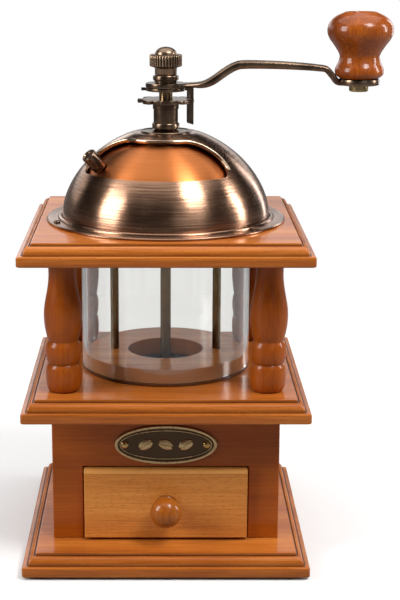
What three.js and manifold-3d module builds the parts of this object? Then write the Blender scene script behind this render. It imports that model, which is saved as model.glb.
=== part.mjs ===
// A hand cranked coffee grinder: moulded wooden boards, a glass hopper between four turned posts,
// a domed cover with a turning inner lid, a conical burr set and a drawer for the ground coffee.
// Millimetres, +Z up. The origin is the centre of the felt pad that the grinder stands on,
// the drawer faces -Y and the crank points to +X.
import * as THREE from "three";
import { mergeVertices } from "three/addons/utils/BufferGeometryUtils.js";
import Module from "manifold-3d";

const wasm = await Module();
wasm.setup();

// Driving sizes shared by several pieces.
const gap = 0.3; // clearance between pieces that fit together
const overrun = 2; // how far a cutter runs past the face that it cuts
const feltThickness = 1.2;
const feltInset = 9;
const plinthWidth = 150;
const midWidth = 148;
const topWidth = 148.6;
const slabThickness = 5.4;
const mouldingHeight = 5.8;
const mouldingInset = 6.8;
const caseHeight = 72.4;
const caseWidth = 120;
const caseDepth = 97;
const panelThickness = 9;
const postHeight = 70.3;
const postRadius = 9.8;
const postSpan = 106; // distance between post axes, from left to right
const postDepthSpan = 100; // and from front to back

// Heights of the boards' faces, worked out from the sizes above.
const boardThickness = slabThickness + mouldingHeight;
const plinthTop = feltThickness + boardThickness;
const midBottom = plinthTop + caseHeight;
const midTop = midBottom + boardThickness;
const topBottom = midTop + postHeight;
const topTop = topBottom + boardThickness;

// Hopper: a glass cylinder that stands on the rebate of a wooden floor disc.
const glassRadius = 46;
const glassWall = 2.4;
const glassSink = 5; // how far the glass reaches into the top board
const floorThickness = 8.8;
const floorLip = 1.4; // thickness of the rebate under the glass
const hopperHoleRadius = 20.4;
const topHoleRadius = 41;
const rodRadius = 2.3;
const rodSpan = 56;
const rodNutRadius = 4.2;
const rodNutHeight = 3;
const bridgeWidth = 13;
const bridgeThickness = 1.6;

// Spindle and burrs.
const spindleRadius = 2.85;
const spindleTopRadius = 3.6;
const burrFlangeRadius = 24.9;
const burrFlangeThickness = 2.8;
const burrFlangeDepth = 5; // depth of the flange's seat below the mid board's face
const burrMouthRadius = 17.2;
const burrWaistRadius = 14;
const burrOutletRadius = 18.4;
const burrBodyRadius = 21.4;
const burrLength = 27;
const burrTeeth = 20;
const toothDepth = 1.1;
const innerBurrTop = 8.4; // radius of the cone's top
const innerBurrFoot = 17.3; // and of its foot, to the teeth's tips
const innerBurrHeight = 18;

// Dome cover: the outer skin follows (r / radius)^a + (z / height)^b = 1.
const domeRadius = 55.6;
const domeHeight = 46.8;
const domeBaseLift = 2.9; // height of the skin's foot above the top board
const domeWall = 1;
const domeRoundShares = [1.878, 1.768]; // the exponents a and b, pure numbers
const flangeRadius = 64;
const flangeThickness = 1.4;
const flangeBead = 1.3; // radius of the rolled bead at the skin's foot
const flangeScrewDegs = [200, 320, 80];
const plateauRadius = 17.5;
const windowFromDeg = -75; // edges of the window, measured from the front towards +X
const windowToDeg = 49;
const windowLowDeg = 28; // and its elevations, seen from the centre of the dome's foot
const windowHighDeg = 59.5;
const windowCorner = 7.5; // radius of the lower corners
const windowShoulder = 20; // and of the upper ones
const lipRadius = 0.75;

// Inner lid.
const lidGap = 1.1; // between the dome's inner face and the lid
const lidWall = 0.8;
const lidOverlapDeg = 8;
const lidLowDeg = 21;
const lidHubHole = 8.5;
const studRadius = 4;
const studLength = 10.6;
const studDeg = -58.5;
const studLiftDeg = 35; // elevation at which the stud stands
const bushNutRadius = 11.5;
const bushNutHeight = 3.2;

// Neck bush and what turns above it.
const bushBore = spindleTopRadius + gap;
const collarRadius = 7.25;
const collarHeight = 3.2;
const sleeveRadius = 6.5;
const sleeveHeight = 10.4;
const bushThroat = 1.6; // height of the flared foot below the collar
const starRadius = 15;
const starNotchRadius = 12.4;
const starLobes = 8;
const lobeHalfDeg = 9.6;
const notchSlopeDeg = 2; // between the end of a lobe and the floor of its notch
const starThickness = 2;
const stopperLift = 4.2; // between the star nut and the stopper plate
const stopperThickness = 1.5;
const stopperRadius = 10.5;
const tabWidth = 5.4;
const tabThickness = 1.7;
const tabReach = 14.1; // from the axis to the middle of the tab
const tabDrop = 19.8;
const crankThickness = 2.4;
const crankHubRadius = 10.7;
const crankReach = 102;
const ringRadius = 6.8;
const ringFootHeight = 1;
const ringHeight = 2.6;
const capNeckRadius = 6;
const capNeckHeight = 4.4;
const capHeadRadius = 8.6;
const capHeadHeight = 6.6;
const capTipRadius = 5;
const capTipHeight = 3.9;
const capRibs = 28;

// Handle.
const handleHeight = 34.4;
const handleRadius = 17.3;
const pinRadius = 3;
const pinHeadRadius = 5.2;
const counterboreRadius = 6.9;
const counterboreDepth = 7;
const eyeRadius = 10.8;
const eyeThickness = 3.4;
const eyeLift = 1.7; // height of the eye's middle above the middle of the crank's hub
const pinNutRadius = 5.1;
const pinNutHeight = 3.4;
const armRise = 10.7; // height of the arm's bow above the middle of the hub
const armWidth = 8.4;
const armHeight = 4.6;

// Drawer and plate.
const drawerWidth = 86.4;
const railHeight = 30.6; // of the case front above the drawer
const drawerFrontThickness = 9.4;
const drawerProud = 3.6;
const drawerBackGap = 4.2; // between the closed drawer and the rear panel
const drawerWall = 5;
const drawerBottom = 3;
const traySink = 8.6; // how far the tray ends below the top of the drawer front
const knobRadius = 8.2;
const plateWidth = 54;
const plateHeight = 21.5;
const plateThickness = 1.6;
const plateClearance = 0.45; // between the plate and the drawer opening
const platePinSpan = 43.2;
const platePinShank = 1.1;
const platePinLength = 7;
const platePinHead = 2.1;
const platePinHeadHeight = 1.3;
const plateSeat = 0.05; // clearance behind the plate and under its pins' heads

const deg = Math.PI / 180;
const fineSteps = 44; // sides of the large round pieces
const roundSteps = 28;
const smallSteps = 12;

// Finishes, as [colour, roughness, metalness].
const varnishedWood = ["#a65a22", 0.28, 0];
const honeyWood = ["#c98f4e", 0.3, 0];
const innerWood = ["#c9a06a", 0.7, 0];
const antiqueBronze = ["#6b5540", 0.34, 1];
const darkBronze = ["#3f3026", 0.42, 1];
const satinCopper = ["#c87f4a", 0.26, 1];
const agedBrass = ["#8a744a", 0.32, 1];
const castSteel = ["#4d4b49", 0.5, 1];
const clearGlass = ["#eef4f2", 0.04, 0];
const softFelt = ["#2f2a26", 0.95, 0];

const grinder = new THREE.Group();

function add(name, geometry, finish, parent = grinder) {
  const [color, roughness, metalness] = finish;
  const material = new THREE.MeshStandardMaterial({ color, roughness, metalness });
  const mesh = new THREE.Mesh(geometry, material);
  mesh.name = name;
  parent.add(mesh);
  return mesh;
}

// A closed geometry as a solid that can be joined and cut.
function solid(geometry) {
  const bare = geometry.clone();
  bare.deleteAttribute("normal");
  bare.deleteAttribute("uv");
  const merged = mergeVertices(bare, 1e-4);
  return new wasm.Manifold(
    new wasm.Mesh({
      numProp: 3,
      vertProperties: merged.attributes.position.array,
      triVerts: new Uint32Array(merged.index.array),
    }),
  );
}

function geometryOf(body) {
  const mesh = body.getMesh();
  const geometry = new THREE.BufferGeometry();
  geometry.setAttribute("position", new THREE.BufferAttribute(mesh.vertProperties, 3));
  geometry.setIndex(new THREE.BufferAttribute(mesh.triVerts, 1));
  return geometry;
}

// Cuts and joins take geometries and give a geometry back.
function cut(geometry, ...tools) {
  const body = tools.reduce((left, tool) => left.subtract(solid(tool)), solid(geometry));
  return geometryOf(body);
}

function join(...geometries) {
  const [first, ...rest] = geometries.map(solid);
  return geometryOf(rest.reduce((left, other) => left.add(other), first));
}

function common(a, b) {
  return geometryOf(solid(a).intersect(solid(b)));
}

// A revolved piece: the outline is a list of [radius, height], going up the outside.
function turned(outline, steps = roundSteps) {
  const points = outline.map(([r, z]) => new THREE.Vector2(r, z));
  return new THREE.LatheGeometry(points, steps).rotateX(Math.PI / 2);
}

// A round bar from one height to another.
function rod(radius, low, high, steps = smallSteps) {
  return turned([[0, low], [radius, low], [radius, high], [0, high]], steps);
}

// A tube with a square section: outer and inner radius, bottom and top.
function ringOf(outer, inner, low, high, steps = roundSteps) {
  return turned([[inner, low], [outer, low], [outer, high], [inner, high], [inner, low]], steps);
}

// A flat outline in X and Y, raised from one height to another.
function plate(shape, low, high, curveSegments = smallSteps / 2) {
  const options = { depth: high - low, bevelEnabled: false, curveSegments };
  return new THREE.ExtrudeGeometry(shape, options).translate(0, 0, low);
}

function block(x0, x1, y0, y1, z0, z1) {
  const box = new THREE.BoxGeometry(x1 - x0, y1 - y0, z1 - z0);
  return box.translate((x0 + x1) / 2, (y0 + y1) / 2, (z0 + z1) / 2);
}

function polygon(points) {
  return new THREE.Shape(points.map(([x, y]) => new THREE.Vector2(x, y)));
}

// Joins closed loops of points, one above the other, into one closed skin.
function loft(loops) {
  const sides = loops[0].length;
  const positions = loops.flat(2);
  const index = [];
  for (let k = 0; k + 1 < loops.length; k++) {
    for (let i = 0; i < sides; i++) {
      const a = k * sides + i;
      const b = k * sides + ((i + 1) % sides);
      index.push(a, b, b + sides, a, b + sides, a + sides);
    }
  }
  const last = (loops.length - 1) * sides;
  for (let i = 1; i + 1 < sides; i++) {
    index.push(0, i + 1, i);
    index.push(last, last + i, last + i + 1);
  }
  const geometry = new THREE.BufferGeometry();
  geometry.setAttribute("position", new THREE.Float32BufferAttribute(positions, 3));
  geometry.setIndex(index);
  return geometry;
}

// Points of an arc, as [x, y], from one angle to another.
function arc(cx, cy, rx, ry, fromDeg, toDeg, steps) {
  return Array.from({ length: steps + 1 }, (_, i) => {
    const a = (fromDeg + ((toDeg - fromDeg) * i) / steps) * deg;
    return [cx + rx * Math.cos(a), cy + ry * Math.sin(a)];
  });
}

// A smooth curve through [a, b] pairs, as that many points.
function smooth(pairs, count) {
  const curve = new THREE.SplineCurve(pairs.map(([a, b]) => new THREE.Vector2(a, b)));
  return curve.getPoints(count).map((p) => [p.x, p.y]);
}

// A screw with a slotted pan head, its head standing on z = 0 and its shank below.
function panScrew(headRadius, headHeight, shankRadius, length) {
  const eased = headHeight / 2;
  const outline = [
    [0, -length],
    [shankRadius, -length],
    [shankRadius, 0],
    [headRadius, 0],
    [headRadius, eased],
    ...arc(headRadius - eased, eased, eased, eased, 30, 90, 2),
    [0, headHeight],
  ];
  const slotHalf = headRadius / 6;
  const slot = block(-headRadius, headRadius, -slotHalf, slotHalf, eased, headHeight + overrun);
  return cut(turned(outline, 10), slot);
}

const screwHead = 3.1;
const screwHeadHeight = 1.7;
const screwShank = 1.5;
const screwLength = 9;

const smallScrewHead = 1.8; // the two screws in the outer burr's flange
const smallScrewHeadHeight = 1.2;
const smallScrewShank = 1.1;
const smallScrewLength = 8;

function screwHole(x, y, z, shank = screwShank, length = screwLength) {
  return rod(shank + gap, z - length - gap, z + overrun).translate(x, y, 0);
}

// Places of the screws, as [x, y], which the boards are drilled for.
function spotsAt(radius, angles) {
  return angles.map((a) => [radius * Math.cos(a * deg), radius * Math.sin(a * deg)]);
}

const burrSeat = midTop - burrFlangeDepth;
const burrFlangeTop = burrSeat + burrFlangeThickness;
const burrScrewSpots = spotsAt((burrFlangeRadius + burrBodyRadius) / 2, [45, 225]);
const burrScrewHoles = burrScrewSpots.map(([x, y]) =>
  screwHole(x, y, burrFlangeTop, smallScrewShank, smallScrewLength),
);
const bracketWidth = 12;
const bracketThickness = 2;
const bracketReach = 37;
const bracketInner = burrBodyRadius + bracketThickness;
const bracketScrewReach = (bracketReach + bracketInner + bracketThickness) / 2;
const bracketScrewBottom = midBottom - bracketThickness;
const bracketScrewSpots = spotsAt(bracketScrewReach, [-90, 90]);
const bracketScrewHoles = bracketScrewSpots.map(([x, y]) =>
  screwHole(0, 0, 0).rotateX(Math.PI).translate(x, y, bracketScrewBottom),
);
const flangeTop = topTop + flangeThickness;
const flangeScrewReach = (flangeRadius + domeRadius + 2 * flangeBead) / 2;
const flangeScrewSpots = spotsAt(flangeScrewReach, flangeScrewDegs);
const flangeScrewHoles = flangeScrewSpots.map(([x, y]) =>
  screwHole(x, y, flangeTop, smallScrewShank, smallScrewLength),
);

// Boards. Each has the same edge: a slab with eased edges, a ledge, a quarter round and a step.
const edgeEase = 0.9;
const ledge = 2.9;
const fieldStep = 1.2;

function mouldedBoard(width, depth, bottom) {
  const round = mouldingHeight - fieldStep;
  const reach = mouldingInset - ledge - edgeEase / 2;
  const edge = [
    [edgeEase, 0],
    [0, edgeEase],
    [0, slabThickness - edgeEase],
    [edgeEase, slabThickness],
    ...arc(ledge + reach, slabThickness, reach, round, 180, 90, 6),
    [mouldingInset, slabThickness + round],
    [mouldingInset, boardThickness],
  ];
  const loops = edge.map(([inset, z]) => {
    const x = width / 2 - inset;
    const y = depth / 2 - inset;
    return [[-x, -y, bottom + z], [x, -y, bottom + z], [x, y, bottom + z], [-x, y, bottom + z]];
  });
  return loft(loops);
}

add("base_plinth", mouldedBoard(plinthWidth, plinthWidth, feltThickness), varnishedWood);
const feltHalf = plinthWidth / 2 - feltInset;
add("felt_base_pad", block(-feltHalf, feltHalf, -feltHalf, feltHalf, 0, feltThickness), softFelt);

// The mid board is bored for the outer burr and recessed for its flange.
const rodHoles = [-1, 1].map((side) => {
  const hole = rod(rodRadius + gap, midBottom - overrun, midTop + floorThickness + overrun);
  return hole.translate((side * rodSpan) / 2, 0, 0);
});
const midBoard = cut(
  mouldedBoard(midWidth, midWidth, midBottom),
  rod(burrBodyRadius + gap, midBottom - overrun, midTop + overrun, fineSteps),
  rod(burrFlangeRadius + gap, burrSeat, midTop + overrun, fineSteps),
  ...rodHoles,
  ...burrScrewHoles,
  ...bracketScrewHoles,
);
add("mid_board", midBoard, varnishedWood);

const floorTop = midTop + floorThickness;
const glassFoot = midTop + floorLip;
const floorRadius = glassRadius - glassWall - gap;
const floorDisc = turned(
  [
    [hopperHoleRadius, midTop],
    [glassRadius, midTop],
    [glassRadius, glassFoot],
    [floorRadius, glassFoot],
    [floorRadius, floorTop],
    [hopperHoleRadius, floorTop],
    [hopperHoleRadius, midTop],
  ],
  fineSteps,
);
add("hopper_floor", cut(floorDisc, ...rodHoles), varnishedWood);

// The top board takes the glass from below and the bridge strap from above.
const glassTop = topBottom + glassSink;
const bridgeHalf = topHoleRadius + glassWall + rodNutRadius;
const bridgeBottom = topTop - bridgeThickness;
const topBoard = cut(
  mouldedBoard(topWidth, topWidth, topBottom),
  rod(topHoleRadius, topBottom - overrun, topTop + overrun, fineSteps),
  rod(glassRadius + gap, topBottom - overrun, glassTop, fineSteps),
  block(
    -bridgeHalf - gap,
    bridgeHalf + gap,
    -bridgeWidth / 2 - gap,
    bridgeWidth / 2 + gap,
    bridgeBottom,
    topTop + overrun,
  ),
  ...flangeScrewHoles,
);
add("top_board", topBoard, varnishedWood);
add(
  "glass_hopper",
  ringOf(glassRadius, glassRadius - glassWall, glassFoot, glassTop, fineSteps),
  clearGlass,
);

// Case panels: the front is a rail and two stiles round the drawer's opening.
const caseHalf = caseWidth / 2;
const caseFront = -caseDepth / 2;
const caseBack = caseDepth / 2;
const sideInner = caseHalf - panelThickness;
const drawerHalf = drawerWidth / 2;
const drawerGap = 0.6;
const openingTop = midBottom - railHeight;
const plateMiddle = openingTop + plateClearance + plateHeight / 2;
const platePinHoles = [-1, 1].map((side) => {
  const hole = rod(platePinShank + gap, -platePinLength - gap, overrun).rotateX(Math.PI / 2);
  return hole.translate((side * platePinSpan) / 2, caseFront, plateMiddle);
});
const frontPanel = cut(
  block(-caseHalf, caseHalf, caseFront, caseFront + panelThickness, plinthTop, midBottom),
  block(
    -drawerHalf - drawerGap,
    drawerHalf + drawerGap,
    caseFront - overrun,
    caseFront + panelThickness + overrun,
    plinthTop - overrun,
    openingTop,
  ),
  ...platePinHoles,
);
const panelFront = caseFront + panelThickness;
const panelBack = caseBack - panelThickness;
add("case_front", frontPanel, varnishedWood);
add("case_rear", block(-caseHalf, caseHalf, panelBack, caseBack, plinthTop, midBottom), varnishedWood);
add("case_left", block(-caseHalf, -sideInner, panelFront, panelBack, plinthTop, midBottom), varnishedWood);
add("case_right", block(sideInner, caseHalf, panelFront, panelBack, plinthTop, midBottom), varnishedWood);

// Runners beside the drawer's tray keep it straight.
const trayHalf = drawerHalf - drawerGap;
const runnerHeight = 12;
for (const [name, side] of [["drawer_runner_left", -1], ["drawer_runner_right", 1]]) {
  const edges = [side * (trayHalf + gap), side * sideInner].sort((a, b) => a - b);
  const runner = block(...edges, panelFront, panelBack, plinthTop, plinthTop + runnerHeight);
  add(name, runner, innerWood);
}

// A turned post: foot bead, groove, bead, groove, vase and neck, as shares of height and radius.
const postFootShares = [[0, 0.84], [0.03, 0.9]];
const postBeadShares = [[0.213, 0.815], [0.385, 0.79]]; // the two grooves
const postVaseShares = [[0.385, 0.79], [0.45, 0.91], [0.575, 1], [0.7, 0.89], [0.84, 0.725], [0.93, 0.73]];
const postCapShares = [[1, 0.79]];

function postOutline() {
  const [[low, lowR], [high, highR]] = postBeadShares;
  const footMiddle = (postFootShares[1][0] + low) / 2;
  const beadMiddle = (low + high) / 2;
  const foot = [[footMiddle - 0.05, 0.94], [footMiddle, 0.955], [footMiddle + 0.055, 0.925]];
  const bead = [[low + 0.02, 0.885], [beadMiddle, 0.945], [high - 0.02, 0.87]];
  const vase = smooth(postVaseShares, 10);
  const outline = [...postFootShares, ...foot, [low, lowR], ...bead, ...vase, ...postCapShares];
  return outline.map(([share, r]) => [r * postRadius, share * postHeight]);
}

const postProfile = [[0, 0], ...postOutline(), [0, postHeight]];
const corners = [
  ["front_left", -1, -1],
  ["front_right", 1, -1],
  ["rear_left", -1, 1],
  ["rear_right", 1, 1],
];
for (const [corner, sx, sy] of corners) {
  const post = add(`post_${corner}`, turned(postProfile, 16), varnishedWood);
  post.position.set((sx * postSpan) / 2, (sy * postDepthSpan) / 2, midTop);
}

// Tie rods clamp bridge, glass, floor and mid board between nuts.
const rodBottom = midBottom - rodNutHeight - 1.5 * gap;
const rodTop = topTop + rodNutHeight + 1.5 * gap;
const strap = cut(
  block(-bridgeHalf, bridgeHalf, -bridgeWidth / 2, bridgeWidth / 2, bridgeBottom, topTop),
  rod(spindleRadius + gap, bridgeBottom - overrun, topTop + overrun),
  ...[-1, 1].map((side) => {
    const hole = rod(rodRadius + gap, bridgeBottom - overrun, topTop + overrun);
    return hole.translate((side * rodSpan) / 2, 0, 0);
  }),
);
add("rod_bridge", strap, darkBronze);

function hexNut(radius, bore, low, high) {
  const hexagon = polygon(arc(0, 0, radius, radius, 0, 300, 5));
  const hole = new THREE.Path();
  hole.absarc(0, 0, bore, 0, 2 * Math.PI);
  hexagon.holes.push(hole);
  return plate(hexagon, low, high);
}

for (const [name, side] of [["left", -1], ["right", 1]]) {
  const x = (side * rodSpan) / 2;
  add(`tie_rod_${name}`, rod(rodRadius, rodBottom, rodTop), agedBrass).position.x = x;
  const upper = hexNut(rodNutRadius, rodRadius + gap, topTop, topTop + rodNutHeight);
  add(`rod_top_nut_${name}`, upper, agedBrass).position.x = x;
  const lower = hexNut(rodNutRadius, rodRadius + gap, midBottom - rodNutHeight, midBottom);
  add(`rod_bottom_nut_${name}`, lower, agedBrass).position.x = x;
}

// Burrs. A toothed loop has a tip and a root for each tooth, and turns a little as it rises.
function toothedLoop(tip, depth, z, twistShare) {
  const pitch = 360 / burrTeeth;
  return Array.from({ length: 2 * burrTeeth }, (_, i) => {
    const tooth = Math.floor(i / 2) + twistShare + (i % 2) * 0.3;
    const r = i % 2 ? tip - depth : tip;
    return [r * Math.cos(tooth * pitch * deg), r * Math.sin(tooth * pitch * deg), z];
  });
}

const burrFoot = burrSeat - burrLength;
const burrWaistZ = burrSeat - burrLength / 4;
const twistShare = 1.2;
const burrChannel = loft([
  toothedLoop(burrOutletRadius + toothDepth, toothDepth, burrFoot - overrun, 0),
  toothedLoop(burrOutletRadius + toothDepth, toothDepth, burrFoot, 0),
  toothedLoop(burrWaistRadius + toothDepth, toothDepth, burrWaistZ, twistShare),
  toothedLoop(burrMouthRadius + toothDepth, toothDepth, burrFlangeTop, twistShare),
  toothedLoop(burrMouthRadius + toothDepth, toothDepth, burrFlangeTop + overrun, twistShare),
]);
const outerBurr = turned(
  [
    [0, burrFoot],
    [burrBodyRadius, burrFoot],
    [burrBodyRadius, burrSeat],
    [burrFlangeRadius, burrSeat],
    [burrFlangeRadius, burrFlangeTop],
    [0, burrFlangeTop],
  ],
  40,
);
add("outer_burr", cut(outerBurr, burrChannel, ...burrScrewHoles), castSteel);
burrScrewSpots.forEach(([x, y], i) => {
  const screw = panScrew(smallScrewHead, smallScrewHeadHeight, smallScrewShank, smallScrewLength);
  add(`burr_screw_${i + 1}`, screw, castSteel).position.set(x, y, burrFlangeTop);
});

const innerBurrFootZ = burrFoot + burrLength / 16;
const innerBurrTopZ = innerBurrFootZ + innerBurrHeight;
const innerBurrBody = loft([
  toothedLoop(innerBurrFoot - toothDepth, toothDepth, innerBurrFootZ - toothDepth, 0),
  toothedLoop(innerBurrFoot, toothDepth, innerBurrFootZ, 0),
  toothedLoop(innerBurrTop, toothDepth, innerBurrTopZ, -twistShare),
]);
const innerBurr = cut(
  innerBurrBody,
  rod(spindleRadius + gap, innerBurrFootZ - toothDepth - overrun, innerBurrTopZ + overrun),
);
add("inner_burr", innerBurr, castSteel);
const burrNutTop = innerBurrFootZ - toothDepth;
const burrNutHeight = 3.2;
const burrNutRadius = 5.2;
add(
  "burr_nut",
  hexNut(burrNutRadius, spindleRadius + gap, burrNutTop - burrNutHeight, burrNutTop),
  agedBrass,
);

// Lower bracket: a bent strap under the mid board, with the bearing of the spindle's foot.
const bearingRadius = 5;
const bearingHeight = 4.4;
const bearingGap = 1.5; // between the burr nut and the strap
const bracketTop = burrNutTop - burrNutHeight - bearingGap;
const bracketBottom = bracketTop - bracketThickness;
const bracketOuter = bracketInner + bracketThickness;
const strapOutline = [
  [bracketReach, midBottom],
  [bracketReach, midBottom - bracketThickness],
  [bracketOuter, midBottom - bracketThickness],
  [bracketOuter, bracketBottom],
  [-bracketOuter, bracketBottom],
  [-bracketOuter, midBottom - bracketThickness],
  [-bracketReach, midBottom - bracketThickness],
  [-bracketReach, midBottom],
  [-bracketInner, midBottom],
  [-bracketInner, bracketTop],
  [bracketInner, bracketTop],
  [bracketInner, midBottom],
];
const bentStrap = plate(polygon(strapOutline), -bracketWidth / 2, bracketWidth / 2);
bentStrap.rotateX(Math.PI / 2).rotateZ(Math.PI / 2);
const bearing = rod(bearingRadius, bracketTop - bearingHeight, bracketTop - bracketThickness / 2);
const bearingBore = rod(spindleRadius + gap, bracketTop - bearingHeight - overrun, bracketTop + overrun);
const lowerBracket = cut(join(bentStrap, bearing), bearingBore, ...bracketScrewHoles);
add("lower_bracket", lowerBracket, castSteel);
bracketScrewSpots.forEach(([x, y], i) => {
  const side = ["front", "rear"][i];
  const shape = panScrew(screwHead, screwHeadHeight, screwShank, screwLength);
  const screw = add(`bracket_screw_${side}`, shape, castSteel);
  screw.rotation.x = Math.PI;
  screw.position.set(x, y, bracketScrewBottom);
});

// Dome cover. A point of its skin, at an angle from foot to top, moved inwards by an inset.
const skinFoot = topTop + domeBaseLift;
const [skinA, skinB] = domeRoundShares;

function skinPoint(angle, inset) {
  const at = (t) => [
    domeRadius * Math.cos(t) ** (2 / skinA),
    skinFoot + domeHeight * Math.sin(t) ** (2 / skinB),
  ];
  const [r, z] = at(angle);
  const step = 1e-3;
  const [r0, z0] = at(Math.max(angle - step, 0));
  const [r1, z1] = at(angle + step);
  const length = Math.hypot(r1 - r0, z1 - z0);
  return [r - (inset * (z1 - z0)) / length, z - (inset * (r0 - r1)) / length];
}

// The angle at which a falling or rising measure of the skin's point reaches a value.
function skinAngle(measure, value) {
  let low = 0;
  let high = 89 * deg;
  const rising = measure(skinPoint(high, 0)) > measure(skinPoint(low, 0));
  for (let i = 0; i < 40; i++) {
    const middle = (low + high) / 2;
    const above = measure(skinPoint(middle, 0)) > value;
    if (above === rising) high = middle;
    else low = middle;
  }
  return (low + high) / 2;
}

const elevationOf = ([r, z]) => Math.atan2(z - skinFoot, r) / deg;

function skinCurve(from, to, inset, steps) {
  return Array.from({ length: steps + 1 }, (_, i) => skinPoint(from + ((to - from) * i) / steps, inset));
}

const plateauAngle = skinAngle(([r]) => r, plateauRadius);
const plateauTop = skinPoint(plateauAngle, 0)[1];
const plateauBottom = plateauTop - domeWall;
const spigotRadius = 5.6;
const innerSkin = skinCurve(0, plateauAngle, domeWall, 7).filter(([, z]) => z < plateauBottom);
const domeShell = turned(
  [
    [domeRadius - domeWall, topTop],
    [flangeRadius, topTop],
    [flangeRadius, flangeTop],
    ...arc(domeRadius + flangeBead, flangeTop, flangeBead, flangeBead, 0, 180, 4),
    ...skinCurve(0, plateauAngle, 0, 9),
    [spigotRadius + gap, plateauTop],
    [spigotRadius + gap, plateauBottom],
    [plateauRadius - domeWall, plateauBottom],
    ...innerSkin.reverse(),
    [domeRadius - domeWall, topTop],
  ],
  fineSteps,
);

// The window's outline, as [azimuth, elevation] in degrees, with rounded corners.
function windowOutline(grow) {
  const growDeg = grow / domeRadius / deg;
  const low = windowLowDeg - growDeg;
  const high = windowHighDeg + growDeg;
  const wide = (elevation) => 1 / Math.cos(elevation * deg);
  const [lowRy, highRy] = [windowCorner, windowShoulder].map((r) => (r + grow) / domeRadius / deg);
  const from = windowFromDeg - growDeg * wide(low);
  const to = windowToDeg + growDeg * wide(low);
  const lowRx = lowRy * wide(low + lowRy);
  const highRx = highRy * wide(high - highRy);
  const parts = 9;
  const straight = (a, b, elevation) =>
    Array.from({ length: parts + 1 }, (_, i) => [a + ((b - a) * i) / parts, elevation]);
  const upper = [
    ...arc(to - highRx, high - highRy, highRx, highRy, 0, 90, 7),
    ...straight(to - highRx, from + highRx, high).slice(1, -1),
    ...arc(from + highRx, high - highRy, highRx, highRy, 90, 180, 7),
  ];
  const lower = [
    ...arc(from + lowRx, low + lowRy, lowRx, lowRy, 180, 270, 5),
    ...straight(from + lowRx, to - lowRx, low).slice(1, -1),
    ...arc(to - lowRx, low + lowRy, lowRx, lowRy, 270, 360, 5),
  ];
  return { upper, lower };
}

// A direction from the centre of the dome's foot; azimuth 0 looks to -Y and 90 to +X.
function rayPoint(azimuth, elevation, distance) {
  const flat = distance * Math.cos(elevation * deg);
  return [
    flat * Math.sin(azimuth * deg),
    -flat * Math.cos(azimuth * deg),
    skinFoot + distance * Math.sin(elevation * deg),
  ];
}

function windowCutter() {
  const { upper, lower } = windowOutline(0);
  const outline = [...upper, ...lower];
  const middle = [(windowFromDeg + windowToDeg) / 2, (windowLowDeg + windowHighDeg) / 2];
  const [inner, outer] = [domeHeight / 3, domeRadius * 1.5];
  const rings = [inner, outer].map((d) => outline.map(([a, e]) => rayPoint(a, e, d)));
  const caps = [inner, outer].map((d) => rayPoint(...middle, d));
  const count = outline.length;
  const index = [];
  for (let i = 0; i < count; i++) {
    const next = (i + 1) % count;
    index.push(i, next, count + i, next, count + next, count + i);
    index.push(2 * count, next, i);
    index.push(2 * count + 1, count + i, count + next);
  }
  const geometry = new THREE.BufferGeometry();
  const points = [...rings.flat(), ...caps].flat();
  geometry.setAttribute("position", new THREE.Float32BufferAttribute(points, 3));
  geometry.setIndex(index);
  return geometry;
}

// The raised lip runs up the window's sides and along its top, on the outside of the skin.
function windowLip() {
  const { upper, lower } = windowOutline(lipRadius / 2);
  const line = [lower.at(-1), ...upper, lower[0]].map(([a, e]) => {
    const angle = skinAngle(elevationOf, e);
    const [r, z] = skinPoint(angle, -lipRadius / 4);
    return new THREE.Vector3(r * Math.sin(a * deg), -r * Math.cos(a * deg), z);
  });
  const curve = new THREE.CatmullRomCurve3(line);
  const round = new THREE.Shape();
  round.absarc(0, 0, lipRadius, 0, 2 * Math.PI);
  return new THREE.ExtrudeGeometry(round, { steps: 32, extrudePath: curve, curveSegments: 3 });
}

const domeCover = cut(join(cut(domeShell, windowCutter()), windowLip()), ...flangeScrewHoles);
add("dome_cover", domeCover, antiqueBronze);
flangeScrewSpots.forEach(([x, y], i) => {
  const screw = panScrew(smallScrewHead, smallScrewHeadHeight, smallScrewShank, smallScrewLength);
  add(`flange_screw_${i + 1}`, screw, antiqueBronze).position.set(x, y, flangeTop);
});

// Neck bush, clamped to the dome by a flanged nut whose boss is the inner lid's pivot.
const collarBottom = plateauTop + bushThroat;
const collarTop = collarBottom + collarHeight;
const sleeveTop = collarTop + sleeveHeight;
const lidOuterInset = domeWall + lidGap;
const lidTopAngle = skinAngle(([r]) => r, plateauRadius + lidWall);
const lidHubTop = skinPoint(lidTopAngle, lidOuterInset)[1];
const bushNutTop = lidHubTop - lidWall - gap;
const spigotFoot = bushNutTop - bushNutHeight - gap;
const flareRadius = 12;
const rimHeight = 3;
const rimWidth = 0.4;
const neckBush = turned(
  [
    [bushBore, spigotFoot],
    [spigotRadius, spigotFoot],
    [spigotRadius, plateauTop],
    [flareRadius, plateauTop],
    ...arc(flareRadius, collarBottom, flareRadius - spigotRadius, bushThroat * 0.9, 270, 180, 5),
    [collarRadius - edgeEase / 2, collarBottom],
    [collarRadius, collarBottom + edgeEase / 2],
    [collarRadius, collarTop - edgeEase / 2],
    [collarRadius - edgeEase / 2, collarTop],
    [sleeveRadius, collarTop],
    [sleeveRadius, sleeveTop - rimHeight],
    [sleeveRadius + rimWidth, sleeveTop - rimHeight],
    [sleeveRadius + rimWidth, sleeveTop],
    [bushBore, sleeveTop],
    [bushBore, spigotFoot],
  ],
  20,
);
add("neck_bush", neckBush, antiqueBronze);
const bossRadius = lidHubHole - gap;
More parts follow.
